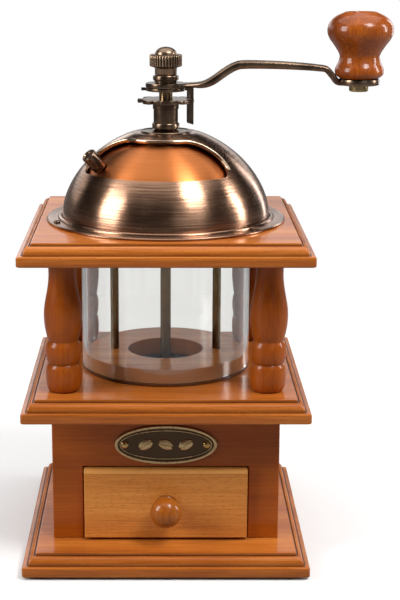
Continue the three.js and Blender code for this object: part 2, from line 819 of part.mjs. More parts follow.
const bushNut = turned(
  [
    [spigotRadius + gap, bushNutTop - bushNutHeight],
    [bushNutRadius, bushNutTop - bushNutHeight],
    [bushNutRadius, bushNutTop],
    [bossRadius, bushNutTop],
    [bossRadius, plateauBottom],
    [spigotRadius + gap, plateauBottom],
    [spigotRadius + gap, bushNutTop - bushNutHeight],
  ],
  24,
);
add("bush_nut", bushNut, darkBronze);

// Inner lid: a sector of a smaller dome, hung on a flat hub that turns on the nut's boss.
const lidLowAngle = skinAngle(elevationOf, lidLowDeg);
const lidShell = turned(
  [
    ...skinCurve(lidLowAngle, lidTopAngle, lidOuterInset, 8),
    [lidHubHole, lidHubTop],
    [lidHubHole, lidHubTop - lidWall],
    [plateauRadius - lidOuterInset, lidHubTop - lidWall],
    ...skinCurve(lidLowAngle, lidTopAngle, lidOuterInset + lidWall, 8)
      .filter(([, z]) => z < lidHubTop - lidWall)
      .reverse(),
    skinPoint(lidLowAngle, lidOuterInset),
  ],
  fineSteps,
);
const lidHubRadius = 14;
const lidSector = new THREE.Shape();
lidSector.moveTo(0, 0);
const lidFromDeg = windowFromDeg - lidOverlapDeg;
const lidToDeg = windowToDeg + lidOverlapDeg;
lidSector.absarc(0, 0, domeRadius * 1.5, (lidFromDeg - 90) * deg, (lidToDeg - 90) * deg);
lidSector.lineTo(0, 0);
const lidWedge = plate(lidSector, skinFoot, plateauTop);
const lidHub = rod(lidHubRadius, lidHubTop - 2 * lidWall, plateauTop);
add("inner_lid", common(lidShell, join(lidWedge, lidHub)), satinCopper);

const studAngle = skinAngle(elevationOf, studLiftDeg);
const [studR, studZ] = skinPoint(studAngle, lidOuterInset);
const [studOutR, studOutZ] = skinPoint(studAngle, 0);
const studLean = Math.atan2(studOutR - studR, studOutZ - studZ);
const studSeat = 0.5; // the lid curves away under the stud's foot
const stud = turned(
  [
    [0, studSeat],
    [studRadius, studSeat],
    [studRadius, studLength - edgeEase / 2],
    [studRadius - edgeEase / 2, studLength],
    [studRadius - edgeEase, studLength],
    [studRadius - edgeEase, studLength - edgeEase / 2],
    [0, studLength - edgeEase / 2],
  ],
  smallSteps,
);
const studMesh = add("lid_stud", stud, antiqueBronze);
studMesh.rotation.set(0, studLean, (studDeg - 90) * deg, "ZYX");
studMesh.position.set(studR * Math.sin(studDeg * deg), -studR * Math.cos(studDeg * deg), studZ);

// Star nut: lobes and notches round a disc, on the spindle's thread above the bush.
const starBottom = sleeveTop + gap;
const starTop = starBottom + starThickness;
const lobePitch = 360 / starLobes;
const notchHalfDeg = lobePitch / 2 - lobeHalfDeg - notchSlopeDeg;
const starOutline = Array.from({ length: starLobes }, (_, i) => {
  const lobe = i * lobePitch;
  const notch = lobe + lobePitch / 2;
  return [
    ...arc(0, 0, starRadius, starRadius, lobe - lobeHalfDeg, lobe + lobeHalfDeg, 3),
    ...arc(0, 0, starNotchRadius, starNotchRadius, notch - notchHalfDeg, notch + notchHalfDeg, 3),
  ];
}).flat();
const starBore = rod(bushBore, starBottom - overrun, starTop + overrun);
const starNut = cut(plate(polygon(starOutline), starBottom, starTop), starBore);
add("star_nut", starNut, antiqueBronze);

// Stopper plate: keyed on the spindle, its bent tab drops into a notch of the star nut.
const tabDeg = lobePitch / 2;
const stopperBottom = starTop + stopperLift;
const stopperTop = stopperBottom + stopperThickness;
const tabHalf = tabWidth / 2;
const tabOuter = tabReach + tabThickness / 2;
const tabInner = tabReach - tabThickness / 2;
const tabFoot = stopperTop - tabDrop;
const earReach = 13;
const earHalf = 1.4;
const tabSide = polygon([
  [tabInner, stopperTop],
  [tabInner, tabFoot + tabThickness],
  [tabOuter, tabFoot],
  [tabOuter, stopperTop - edgeEase],
  [tabOuter - edgeEase, stopperTop],
]);
const bentTab = plate(tabSide, -tabHalf, tabHalf).rotateX(Math.PI / 2);
const tabArm = join(block(0, tabReach, -tabHalf, tabHalf, stopperBottom, stopperTop), bentTab);
const ear = block(0, earReach, -earHalf, earHalf, stopperBottom, stopperTop);
const stopper = join(
  rod(stopperRadius, stopperBottom, stopperTop, roundSteps),
  tabArm.rotateZ(tabDeg * deg),
  ear.rotateZ((180 - tabDeg / 2) * deg),
);
const upperHole = rod(bushBore, stopperBottom - overrun, stopperTop + 4 * overrun);
add("stopper_plate", cut(stopper, upperHole), antiqueBronze);

// Crank: hub plate, cranked arm that bows up and comes down again, and the flat eye of the handle.
const crankBottom = stopperTop + gap;
const crankTop = crankBottom + crankThickness;
const crankMiddle = (crankTop + crankBottom) / 2;
const eyeBottom = crankMiddle + eyeLift - eyeThickness / 2;
const eyeTop = eyeBottom + eyeThickness;
// Middle line as shares of the reach and of the rise, with shares of the width and of the height.
const armShares = [
  [0.05, 0, 1.75, 0.52],
  [0.13, 0, 1.3, 0.56],
  [0.19, 0.02, 1, 0.8],
  [0.24, 0.2, 0.92, 0.98],
  [0.31, 0.66, 0.9, 1],
  [0.36, 0.92, 0.88, 1],
  [0.41, 1, 0.86, 1],
  [0.56, 0.98, 0.8, 0.94],
  [0.7, 0.91, 0.76, 0.86],
  [0.785, 0.84, 0.76, 0.8],
  [0.83, 0.76, 0.78, 0.76],
  [0.862, 0.44, 0.84, 0.74],
  [0.89, 0.15, 0.98, 0.74],
  [0.94, 0.15, 1.1, 0.72],
];
const armCurve = new THREE.CatmullRomCurve3(
  armShares.map(([x, rise]) => new THREE.Vector3(x * crankReach, 0, crankMiddle + rise * armRise)),
);
const armSteps = 24;
const armLoops = Array.from({ length: armSteps + 1 }, (_, i) => {
  const t = (i / armSteps) * (armShares.length - 1);
  const k = Math.min(Math.floor(t), armShares.length - 2);
  const blend = t - k;
  const [width, height] = [2, 3].map((c) => armShares[k][c] * (1 - blend) + armShares[k + 1][c] * blend);
  const centre = armCurve.getPoint(i / armSteps);
  const along = armCurve.getTangent(i / armSteps);
  const side = (armWidth * width) / 2;
  const half = (armHeight * height) / 2;
  return arc(0, 0, 1, 1, 18, 342, 9).map(([c, s]) => {
    const across = Math.sign(c) * Math.abs(c) ** 0.7 * side;
    const up = Math.sign(s) * Math.abs(s) ** 0.7 * half;
    return [centre.x - up * along.z, across, centre.z + up * along.x];
  });
});
const arm = join(
  rod(crankHubRadius, crankBottom, crankTop, roundSteps),
  loft(armLoops),
  rod(eyeRadius, eyeBottom, eyeTop, roundSteps).translate(crankReach, 0, 0),
);
const pinHole = rod(pinRadius + gap, eyeBottom - overrun, eyeTop + overrun).translate(crankReach, 0, 0);
add("crank_arm", cut(arm, upperHole, pinHole), antiqueBronze);

// Knurled cap nut above a loose ring.
const ringFoot = crankTop + gap;
const ringBottom = ringFoot + ringFootHeight;
const ringTop = ringBottom + ringHeight;
const spindleTop = ringTop + capNeckHeight + capHeadHeight / 2;
const capRing = turned([
  [bushBore, ringFoot],
  [capNeckRadius, ringFoot],
  [capNeckRadius, ringBottom],
  [ringRadius - edgeEase / 2, ringBottom],
  [ringRadius, ringBottom + edgeEase / 2],
  [ringRadius, ringTop - edgeEase / 2],
  [ringRadius - edgeEase / 2, ringTop],
  [bushBore, ringTop],
  [bushBore, ringFoot],
]);
add("cap_washer", capRing, antiqueBronze);

const capFoot = ringTop + gap;
const headBottom = ringTop + capNeckHeight;
const headTop = headBottom + capHeadHeight;
const ribDepth = 0.45;
const headEase = 1.2;
function ribbedLoop(radius, z) {
  return Array.from({ length: 2 * capRibs }, (_, i) => {
    const a = (i * 180) / capRibs;
    const r = i % 2 ? radius - ribDepth : radius;
    return [r * Math.cos(a * deg), r * Math.sin(a * deg), z];
  });
}
const ribbedHead = loft([
  ribbedLoop(capNeckRadius + ribDepth, headBottom),
  ribbedLoop(capHeadRadius, headBottom + headEase),
  ribbedLoop(capHeadRadius, headTop - headEase),
  ribbedLoop(capHeadRadius - headEase, headTop),
]);
const capBody = turned(
  [
    [0, capFoot],
    [capNeckRadius, capFoot],
    [capNeckRadius, headTop - headEase],
    [capTipRadius + headEase / 2, headTop - headEase],
    ...arc(0, headTop - headEase / 2, capTipRadius, capTipHeight + headEase / 2, 0, 80, 6),
    [0, headTop + capTipHeight],
  ],
  24,
);
const capBore = rod(bushBore, capFoot - overrun, spindleTop + gap);
add("cap_nut", cut(join(ribbedHead, capBody), capBore), antiqueBronze);

// Spindle: thick and threaded above the spring's collar, thinner through the glass and the burrs.
const collarLift = 12; // height of the spring's collar above the dome's foot
const collarThickness = 2.6;
const springCollarTop = skinFoot + collarLift;
const springCollarBottom = springCollarTop - collarThickness;
const spindleBottom = bracketTop - bearingHeight;
const spindle = turned([
  [0, spindleBottom],
  [spindleRadius, spindleBottom],
  [spindleRadius, springCollarBottom],
  [spindleTopRadius, springCollarBottom],
  [spindleTopRadius, spindleTop],
  [0, spindleTop],
], smallSteps);
add("spindle", spindle, agedBrass);
const springRadius = 5;
const springWire = 0.6;
const springCollarRadius = springRadius + 2 * springWire;
const collarBore = spindleTopRadius + gap;
const springCollar = ringOf(springCollarRadius, collarBore, springCollarBottom, springCollarTop, 20);
add("spring_collar", springCollar, agedBrass);

// Compression spring: one unbroken tube, eight steps of five sides to a curl.
const springCurls = 7;
const springLow = springCollarTop + springWire + gap;
const springHigh = spigotFoot - springWire - gap;
class SpringLine extends THREE.Curve {
  getPoint(t, target = new THREE.Vector3()) {
    const a = 2 * Math.PI * springCurls * t;
    const z = springLow + (springHigh - springLow) * t;
    return target.set(springRadius * Math.cos(a), springRadius * Math.sin(a), z);
  }
}
const springPitch = (springHigh - springLow) / springCurls;
console.log("least gap between the spring's curls, mm:", (springPitch - 2 * springWire).toFixed(2));
const wire = polygon(arc(0, 0, springWire, springWire, 0, 288, 4));
const springOptions = { steps: springCurls * 8, extrudePath: new SpringLine() };
add("spindle_spring", new THREE.ExtrudeGeometry(wire, springOptions), castSteel);

// Handle: a turned wooden grip that spins on its pin.
const handleFoot = eyeTop + gap;
const handleTop = handleFoot + handleHeight;
const gripShares = [
  [0, 0.6], [0.05, 0.72], [0.108, 0.745], [0.17, 0.715], [0.242, 0.645], [0.32, 0.607], [0.376, 0.636],
  [0.44, 0.71], [0.51, 0.805], [0.58, 0.91], [0.66, 0.985], [0.733, 1], [0.81, 0.965], [0.88, 0.87],
  [0.94, 0.72], [0.985, 0.52],
];
const gripPoints = gripShares.map(([share, r]) => [r * handleRadius, handleFoot + share * handleHeight]);
const gripCurve = smooth(gripPoints, 18);
const counterboreFloor = handleTop - counterboreDepth;
const grip = turned([
  [pinRadius + gap, handleFoot],
  ...gripCurve,
  [counterboreRadius + edgeEase, handleTop],
  [counterboreRadius, handleTop - edgeEase],
  [counterboreRadius, counterboreFloor],
  [pinRadius + gap, counterboreFloor],
  [pinRadius + gap, handleFoot],
], 22);
add("handle_grip", grip, varnishedWood).position.x = crankReach;
const pinFoot = eyeBottom - pinNutHeight;
const pinHeadHeight = 2.6;
const pinHeadFoot = counterboreFloor + gap;
const pin = turned([
  [0, pinFoot],
  [pinRadius, pinFoot],
  [pinRadius, pinHeadFoot],
  [pinHeadRadius, pinHeadFoot],
  ...arc(0, pinHeadFoot, pinHeadRadius, pinHeadHeight, 15, 75, 4),
  [0, pinHeadFoot + pinHeadHeight],
], smallSteps);
add("handle_pin", pin, antiqueBronze).position.x = crankReach;
const pinNut = turned([
  [pinRadius + gap, pinFoot],
  [pinNutRadius - edgeEase, pinFoot],
  [pinNutRadius, pinFoot + edgeEase],
  [pinNutRadius, eyeBottom],
  [pinRadius + gap, eyeBottom],
  [pinRadius + gap, pinFoot],
], 24);
add("handle_pin_nut", pinNut, agedBrass).position.x = crankReach;

// Drawer: a bevelled front with a tray behind it.
const drawerBottomZ = plinthTop + drawerGap;
const drawerTopZ = openingTop - drawerGap;
const drawerFace = caseFront - drawerProud;
const drawerBack = drawerFace + drawerFrontThickness;
const drawerBevel = 2.4;
const bevelDepth = 1.2;
const frontSteps = [[0, drawerBack], [0, drawerFace + bevelDepth], [drawerBevel, drawerFace]];
const frontLoops = frontSteps.map(([inset, y]) => {
  const x = drawerHalf - inset;
  const z0 = drawerBottomZ + inset;
  const z1 = drawerTopZ - inset;
  return [[-x, y, z0], [x, y, z0], [x, y, z1], [-x, y, z1]];
});
const drawerMiddle = (drawerBottomZ + drawerTopZ) / 2;
const knobScrewLength = drawerFrontThickness + screwLength / 2;
const knobScrewHole = screwHole(0, 0, 0, screwShank, knobScrewLength).rotateX(-Math.PI / 2);
knobScrewHole.translate(0, drawerBack, drawerMiddle);
add("drawer_front", cut(loft(frontLoops), knobScrewHole), honeyWood);
const trayBack = panelBack - drawerBackGap;
const trayTop = drawerTopZ - traySink;
const trayInner = trayHalf - drawerWall;
const trayEnd = trayBack - drawerWall;
const floorZ = drawerBottomZ + drawerBottom;
const trayBoards = {
  drawer_side_left: [-trayHalf, -trayInner, drawerBack, trayBack, drawerBottomZ, trayTop],
  drawer_side_right: [trayInner, trayHalf, drawerBack, trayBack, drawerBottomZ, trayTop],
  drawer_back: [-trayInner, trayInner, trayEnd, trayBack, drawerBottomZ, trayTop],
  drawer_bottom: [-trayInner, trayInner, drawerBack, trayEnd, drawerBottomZ, floorZ],
};
for (const [name, sides] of Object.entries(trayBoards)) add(name, block(...sides), innerWood);

// The drawer's knob is a turned ball on a short neck; its screw comes from inside the drawer.
const knobNeckRadius = 4.6;
const knobNeck = 2.4;
const knobHalf = 7;
const knobMiddle = knobNeck + knobHalf - edgeEase;
const knobBody = turned(
  [
    [0, 0],
    [knobNeckRadius + edgeEase, 0],
    [knobNeckRadius, edgeEase],
    [knobNeckRadius, knobNeck],
    ...arc(0, knobMiddle, knobRadius, knobHalf, -48, 84, 9),
    [0, knobMiddle + knobHalf],
  ],
  20,
);
knobBody.rotateX(Math.PI / 2).translate(0, drawerFace, drawerMiddle);
add("drawer_knob", cut(knobBody, knobScrewHole), varnishedWood);
const knobScrew = add(
  "drawer_knob_screw",
  panScrew(screwHead, screwHeadHeight, screwShank, knobScrewLength),
  agedBrass,
);
knobScrew.rotation.x = -Math.PI / 2;
knobScrew.position.set(0, drawerBack, drawerMiddle);

// Oval plate: a thin field, a broad rim, a fine inner rim and three coffee beans in low relief.
const plateField = 0.8;
const plateBack = caseFront - plateSeat;
const plateRim = 1.7; // width of the broad rim
const fineRimInset = 2.6;
const fineRim = 0.5;
const fineRimHeight = 1.2;
const beanLength = 8.4;
const beanWidth = 5.6;
const beanHeight = 0.9; // above the field
const beanPitch = 10.6;
const beanTiltDegs = [28, -24, 28];

function ellipse(inset, low, high) {
  const points = arc(0, 0, plateWidth / 2 - inset, plateHeight / 2 - inset, 0, 348, 29);
  return plate(polygon(points), low, high);
}

function ellipseRim(inset, width, top) {
  const inner = ellipse(inset + width, plateField - overrun, top + overrun);
  return cut(ellipse(inset, plateField / 2, top), inner);
}

const beans = beanTiltDegs.map((tilt, i) => {
  const body = turned([[0, -1], ...arc(0, 0, 1, 1, 0, 70, 2), [0, 1]], smallSteps);
  body.scale(beanLength / 2, beanWidth / 2, beanHeight);
  const crease = block(-beanLength, beanLength, -fineRim / 2, fineRim / 2, beanHeight / 2, overrun);
  return cut(body, crease).rotateZ(tilt * deg).translate((i - 1) * beanPitch, 0, plateField);
});
const ovalPlate = join(
  ellipse(0, 0, plateField),
  ellipseRim(0, plateRim, plateThickness),
  ellipseRim(fineRimInset, fineRim, fineRimHeight),
);
ovalPlate.rotateX(Math.PI / 2).translate(0, plateBack, plateMiddle);
const beanRelief = beans.map((bean) => bean.rotateX(Math.PI / 2).translate(0, plateBack, plateMiddle));
add("oval_plate", cut(join(ovalPlate, ...beanRelief), ...platePinHoles), darkBronze);
for (const [name, side] of [["left", -1], ["right", 1]]) {
  const profile = [
    [0, -platePinLength],
    [platePinShank, -platePinLength],
    [platePinShank, 0],
    ...arc(0, 0, platePinHead, platePinHeadHeight, 0, 75, 4),
    [0, platePinHeadHeight],
  ];
  const pinPiece = add(`plate_pin_${name}`, turned(profile, smallSteps), agedBrass);
  pinPiece.rotation.x = Math.PI / 2;
  pinPiece.position.set((side * platePinSpan) / 2, plateBack - plateField - plateSeat, plateMiddle);
}

export default grinder;
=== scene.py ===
# %% [markdown]
# # A hand cranked coffee grinder
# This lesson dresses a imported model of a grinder. The model is loaded first as a frame: its
# pieces have the right sizes and places, but plain faceted shapes. Each piece that shows is then
# modelled again, smooth and with its own finish, at the same place, and rides on the same body.

# %% Load the frame
from math import atan2, cos, hypot, pi, radians, sin

import bmesh
import bpy
from mathutils import Matrix, Vector


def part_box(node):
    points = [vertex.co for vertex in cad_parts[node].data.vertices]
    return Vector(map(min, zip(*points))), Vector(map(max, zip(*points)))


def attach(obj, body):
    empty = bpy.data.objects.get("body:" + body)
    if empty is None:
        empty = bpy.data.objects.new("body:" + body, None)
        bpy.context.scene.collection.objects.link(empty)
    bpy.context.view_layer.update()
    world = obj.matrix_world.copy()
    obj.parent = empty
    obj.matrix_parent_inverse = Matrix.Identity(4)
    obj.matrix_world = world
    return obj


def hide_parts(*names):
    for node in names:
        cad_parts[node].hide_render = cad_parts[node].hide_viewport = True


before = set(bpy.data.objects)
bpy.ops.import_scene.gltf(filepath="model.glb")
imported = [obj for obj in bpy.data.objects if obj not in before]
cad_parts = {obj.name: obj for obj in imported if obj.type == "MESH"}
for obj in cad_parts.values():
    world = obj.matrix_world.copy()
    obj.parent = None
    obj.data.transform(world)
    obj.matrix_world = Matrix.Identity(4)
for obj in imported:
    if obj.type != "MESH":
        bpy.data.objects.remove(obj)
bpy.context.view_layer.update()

MM = 0.001
bpy.ops.object.select_all(action="DESELECT")

# %% [markdown]
# ## The camera
# The photograph looks down at the grinder by about fourteen degrees, from three quarters of a
# metre away. A wide body and a tall crank fill an upright frame, so the lens is chosen for the
# frame's height, and a small shift moves the body left to leave room for the handle.

# %% Camera
FRAME_HEIGHT = 600  # pixels of the picture's longer side
SENSOR = 36  # mm along that side
LENS_PIXELS = 1453  # focal length in pixels
SHIFT_PIXELS = 39.5  # how far the picture's middle is moved
LOOK_DOWN = 14.09  # degrees
bpy.ops.object.camera_add(
    location=(-2.8 * MM, -772.6 * MM, 325.5 * MM), rotation=(radians(90 - LOOK_DOWN), 0, 0)
)
camera = bpy.context.object
camera.name = "studio_camera"
camera.data.sensor_width = SENSOR
camera.data.lens = LENS_PIXELS * SENSOR / FRAME_HEIGHT
camera.data.shift_x = SHIFT_PIXELS / FRAME_HEIGHT
bpy.context.scene.camera = camera
bpy.context.scene.view_settings.view_transform = "Standard"
print("camera: lens", round(camera.data.lens, 1), "mm")

# %% [markdown]
# ## Helpers for modelling
# A primitive is selected all over when it is added, and operators act on all that is selected.
# So one helper deselects everything before it adds a primitive, and one selects vertices, edges
# or faces by a rule on their place, which is what a mouse would do. The others wrap what nearly
# every piece needs: a modifier that is applied at once, a cut or a join, and a last dressing.


def only(piece):
    """Selects one piece alone and makes it the active one."""
    bpy.ops.object.select_all(action="DESELECT")
    piece.select_set(True)
    bpy.context.view_layer.objects.active = piece


def fresh(operator, name, **settings):
    """Adds a primitive with nothing else selected, and names it."""
    bpy.ops.object.select_all(action="DESELECT")
    operator(**settings)
    piece = bpy.context.object
    piece.name = name
    return piece


def pick(piece, kind, rule):
    """In edit mode, selects the vertices, edges or faces that a rule passes."""
    bpy.ops.mesh.select_mode(type=kind)
    bpy.ops.mesh.select_all(action="DESELECT")
    mesh = bmesh.from_edit_mesh(piece.data)
    for item in {"VERT": mesh.verts, "EDGE": mesh.edges, "FACE": mesh.faces}[kind]:
        if rule(item):
            item.select_set(True)
    mesh.select_flush_mode()
    bmesh.update_edit_mesh(piece.data)


def middle(item):
    """The middle of an edge or a face, in mm."""
    points = [v.co for v in item.verts]
    return sum(points, Vector()) / len(points) / MM


def close_up():
    """Turns all faces outwards and leaves edit mode."""
    bpy.ops.mesh.select_all(action="SELECT")
    bpy.ops.mesh.normals_make_consistent(inside=False)
    bpy.ops.object.mode_set(mode="OBJECT")


def apply(piece, kind, **settings):
    """Adds a modifier with its settings and applies it."""
    only(piece)
    modifier = piece.modifiers.new(kind.title(), kind)
    for key, value in settings.items():
        setattr(modifier, key, value)
    bpy.ops.object.modifier_apply(modifier=modifier.name)
    return piece


def combine(operation, piece, *others):
    """Cuts, joins or intersects a piece with other pieces, and deletes those."""
    for other in others:
        apply(piece, "BOOLEAN", object=other, operation=operation, solver="EXACT")
        bpy.data.objects.remove(other)
    return piece


def settle(piece, angle):
    """Applies a piece's place and smooths it, leaving edges sharper than the angle."""
    only(piece)
    bpy.ops.object.transform_apply(location=True, rotation=True, scale=True)
    bpy.ops.object.shade_smooth_by_angle(angle=radians(angle))
    return apply(piece, "WEIGHTED_NORMAL", keep_sharp=True)


def dress(piece, angle, material, node_name=None, body="housing"):
    """Settles a piece, gives it its finish and body, and hides the CAD node it stands for."""
    if angle:
        settle(piece, angle)
    piece.data.materials.clear()
    piece.data.materials.append(material)
    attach(piece, body)
    if node_name:
        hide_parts(node_name)


# %% [markdown]
# ## Turning
# Posts, knobs, rods, rings and the dome are round. As on a lathe, each starts as half of its
# silhouette, drawn point by point, and spin carries that line round the Z axis. Plain bars and
# blocks serve as boards and as cutting tools.

# %% Turned pieces, bars and blocks


def arc(cx, cy, rx, ry, start, end, steps):
    """Points of an elliptic arc, in degrees, as (x, y) pairs."""
    angles = [radians(start + (end - start) * i / steps) for i in range(steps + 1)]
    return [(cx + rx * cos(a), cy + ry * sin(a)) for a in angles]


def soften(outline, size):
    """Rounds the corners of an outline of (radius, height) pairs, in mm."""
    rounded = [outline[0]]
    for before, corner, after in zip(outline, outline[1:], outline[2:]):
        ends = []
        for other in (before, after):
            length = hypot(other[0] - corner[0], other[1] - corner[1])
            share = min(size / length, 0.45)
            ends.append([c + (o - c) * share for c, o in zip(corner, other)])
        bow = [(a + 2 * c + b) / 4 for a, c, b in zip(ends[0], corner, ends[1])]
        rounded += [ends[0], bow, ends[1]]
    return rounded + [outline[-1]]


def turned(name, outline, steps=72, at=(0, 0)):
    """Spins an outline round a vertical axis; a closed one ends where it starts."""
    piece = fresh(bpy.ops.mesh.primitive_plane_add, name, size=MM)
    bpy.ops.object.mode_set(mode="EDIT")
    bpy.ops.mesh.select_mode(type="VERT")
    bpy.ops.mesh.merge(type="CENTER")
    radius, height = outline[0]
    bpy.ops.transform.translate(value=(radius * MM, 0, height * MM))
    for (r0, z0), (r1, z1) in zip(outline, outline[1:]):
        move = {"value": ((r1 - r0) * MM, 0, (z1 - z0) * MM)}
        bpy.ops.mesh.extrude_region_move(TRANSFORM_OT_translate=move)
    bpy.ops.mesh.select_all(action="SELECT")
    bpy.ops.mesh.remove_doubles(threshold=1e-6)
    bpy.ops.mesh.spin(steps=steps, angle=2 * pi, center=(0, 0, 0), axis=(0, 0, 1))
    bpy.ops.mesh.select_all(action="SELECT")
    bpy.ops.mesh.remove_doubles(threshold=1e-6)
    bpy.ops.transform.translate(value=(at[0] * MM, at[1] * MM, 0))
    close_up()
    return piece


def cylinder(radius, low, high, at=(0, 0), sides=48):
    """A plain bar, used to cut holes."""
    place = (at[0] * MM, at[1] * MM, (low + high) / 2 * MM)
    size = {"vertices": sides, "radius": radius * MM, "depth": (high - low) * MM}
    return fresh(bpy.ops.mesh.primitive_cylinder_add, "drill", location=place, **size)


def drill(piece, radius, low, high, at=(0, 0), sides=48):
    """Bores a round upright hole from one height to another, in mm."""
    return combine("DIFFERENCE", piece, cylinder(radius, low, high, at, sides))


def block(name, low, high):
    """A plain block between two corners, in mm."""
    size = [(b - a) * MM for a, b in zip(low, high)]
    place = [(a + b) / 2 * MM for a, b in zip(low, high)]
    piece = fresh(bpy.ops.mesh.primitive_cube_add, name, size=1, location=place, scale=size)
    bpy.ops.object.transform_apply(location=True, rotation=True, scale=True)
    return piece


# %% [markdown]
# ## Shaders
# A finish is a small network of nodes. One helper fills the sockets of a node, from a number, a
# colour or the node before it, and one adds a node. Colours are written as sRGB codes, as a
# picture editor shows them, and turned to linear values here.

# %% Helpers for finishes


def linear(code):
    """An sRGB hex colour as linear values, fully opaque."""
    shares = [int(code[i : i + 2], 16) / 255 for i in (1, 3, 5)]
    return (*[c / 12.92 if c < 0.04045 else ((c + 0.055) / 1.055) ** 2.4 for c in shares], 1)


def fill(node, sockets):
    """Fills sockets with a value or a colour code, or links them to a socket or a node."""
    for key, value in sockets.items():
        if isinstance(value, bpy.types.Node):
            value = next(output for output in value.outputs if output.enabled)
        if isinstance(value, bpy.types.NodeSocket):
            node.id_data.links.new(value, node.inputs[key])
        else:
            node.inputs[key].default_value = linear(value) if isinstance(value, str) else value
    return node


def add_node(tree, kind, sockets=None, stops=(), **settings):
    """Adds a shader node; a colour ramp also takes stops of (place, colour code)."""
    node = tree.nodes.new("ShaderNode" + kind)
    for key, value in settings.items():
        setattr(node, key, value)
    for _ in stops[2:]:
        node.color_ramp.elements.new(0.5)
    for i, (place, code) in enumerate(stops):
        node.color_ramp.elements[i].position = place
        node.color_ramp.elements[i].color = linear(code)
    return fill(node, sockets or {})


def surface(name):
    """A new material, with its node tree and its shader."""
    material = bpy.data.materials.new(name)
    material.use_nodes = True
    return material, material.node_tree, material.node_tree.nodes["Principled BSDF"]


def own_place(tree):
    """The place of a point in its piece's own coordinates, in metres."""
    return add_node(tree, "TexCoord").outputs["Object"]


# %% [markdown]
# ## Studio
# The photograph is a catalogue picture: a white sweep, a broad soft light from above and softer
# ones from both sides. Polished metal shows its surroundings, so the room is darker to the sides
# than above, and the white of the sweep counts only where the eye sees it directly or through
# the glass. Boxes to the left and right draw the bright strips on the dome. The lights behind it
# draw its rims and lay a sheen on the flange and the tops of the boards.

# %% Floor


def seen_straight(tree):
    """1 where the eye looks directly or through clear glass, 0 for reflections and bounces."""
    path = add_node(tree, "LightPath").outputs
    unreflected = add_node(tree, "Math", {0: path["Glossy Depth"], 1: 0.5}, operation="LESS_THAN")
    both = {0: path["Is Transmission Ray"], 1: unreflected}
    through = add_node(tree, "Math", both, operation="MULTIPLY")
    return add_node(tree, "Math", {0: path["Is Camera Ray"], 1: through}, operation="MAXIMUM")


floor = fresh(bpy.ops.mesh.primitive_plane_add, "studio_floor", size=4, location=(0, 0, -0.0002))
paper, sheet, paper_shader = surface("white_paper_sweep")  # matt, so it takes soft shadows
straight = seen_straight(sheet)
# A colour mix takes its share at socket 0 and its two colours at sockets 6 and 7
paper_tone = add_node(sheet, "Mix", {0: straight, 6: "#8c8c8c", 7: "#e2e2e2"}, data_type="RGBA")
fill(paper_shader, {"Base Color": paper_tone, "Roughness": 0.7})
away = add_node(sheet, "VectorMath", {0: own_place(sheet), 1: (0, 0, 0)}, operation="DISTANCE")
NEAR, FAR = 0.2, 0.55  # between these distances in metres the paper fades into the white room
sweep = {"Value": away, "From Min": NEAR, "From Max": FAR, "To Max": straight}
fade = add_node(sheet, "MapRange", sweep, interpolation_type="SMOOTHSTEP")
glow = add_node(sheet, "Emission", {"Color": "#ffffff", "Strength": 1.0})
swept = add_node(sheet, "MixShader", {0: fade, 1: paper_shader, 2: glow})
fill(sheet.nodes["Material Output"], {"Surface": swept})
floor.data.materials.append(paper)
print("floor: white paper sweep")

# %% Room
room = bpy.data.worlds.new("studio_room")
room.use_nodes = True
bpy.context.scene.world = room
sky = room.node_tree
sky.nodes.clear()
direction = add_node(sky, "TexCoord").outputs["Generated"]
upwards = add_node(sky, "SeparateXYZ", {0: direction}).outputs[2]
height = add_node(sky, "MapRange", {"Value": upwards, "From Min": -1.0, "From Max": 1.0})
ROOM_TONES = (  # from straight below to straight above; the middle is the horizon
    (0.0, "#e8e6e4"), (0.48, "#8a8582"), (0.52, "#232120"), (0.8, "#2f2c2b"), (0.95, "#b4b2b0"),
)
shades = add_node(sky, "ValToRGB", {"Fac": height}, ROOM_TONES)
lit = add_node(sky, "Background", {"Color": shades, "Strength": 1.0})
seen = add_node(sky, "Background", {"Color": "#ffffff", "Strength": 1.0})
either = add_node(sky, "MixShader", {0: seen_straight(sky), 1: lit, 2: seen})
add_node(sky, "OutputWorld", {"Surface": either})
print("room:", len(ROOM_TONES), "tones from floor to ceiling")

# %% Lights
DOME, FLOOR = (0, 0, 0.16), (0, 0.1, 0)  # what the lights are aimed at, in metres
SOFT_BOXES = {  # name: (watts, size, place, aim), in metres
    "key_soft_box": (10, (0.42, 0.6), (-0.9, -0.4, 0.6), DOME),
    "right_strip": (5, (0.14, 0.6), (0.96, 0.02, 0.5), DOME),
    "high_right_box": (9, (0.34, 0.4), (0.45, -0.52, 1.0), DOME),
    "front_panel": (0.4, (0.6, 0.6), (0.45, -0.9, 0.5), DOME),
    "rim_strip_right": (1.3, (0.1, 0.6), (0.65, 0.75, 0.35), DOME),
    "rim_strip_left": (1.0, (0.9, 0.3), (-0.55, 0.8, 0.46), DOME),
    "back_panel": (0.8, (1.1, 0.22), (0.1, 0.95, 0.42), DOME),
    "overhead_panel": (7, (1.4, 1.2), (0.0, 0.1, 1.05), FLOOR),
}
for name, (watts, size, place, aim) in SOFT_BOXES.items():
    bpy.ops.object.light_add(type="AREA", location=place)
    lamp = bpy.context.object
    lamp.name = name
    lamp.data.shape = "RECTANGLE"
    lamp.data.size, lamp.data.size_y = size
    lamp.data.energy = watts
    lamp.rotation_euler = (Vector(aim) - Vector(place)).to_track_quat("-Z", "Y").to_euler()
print("lights:", len(SOFT_BOXES), "soft boxes")
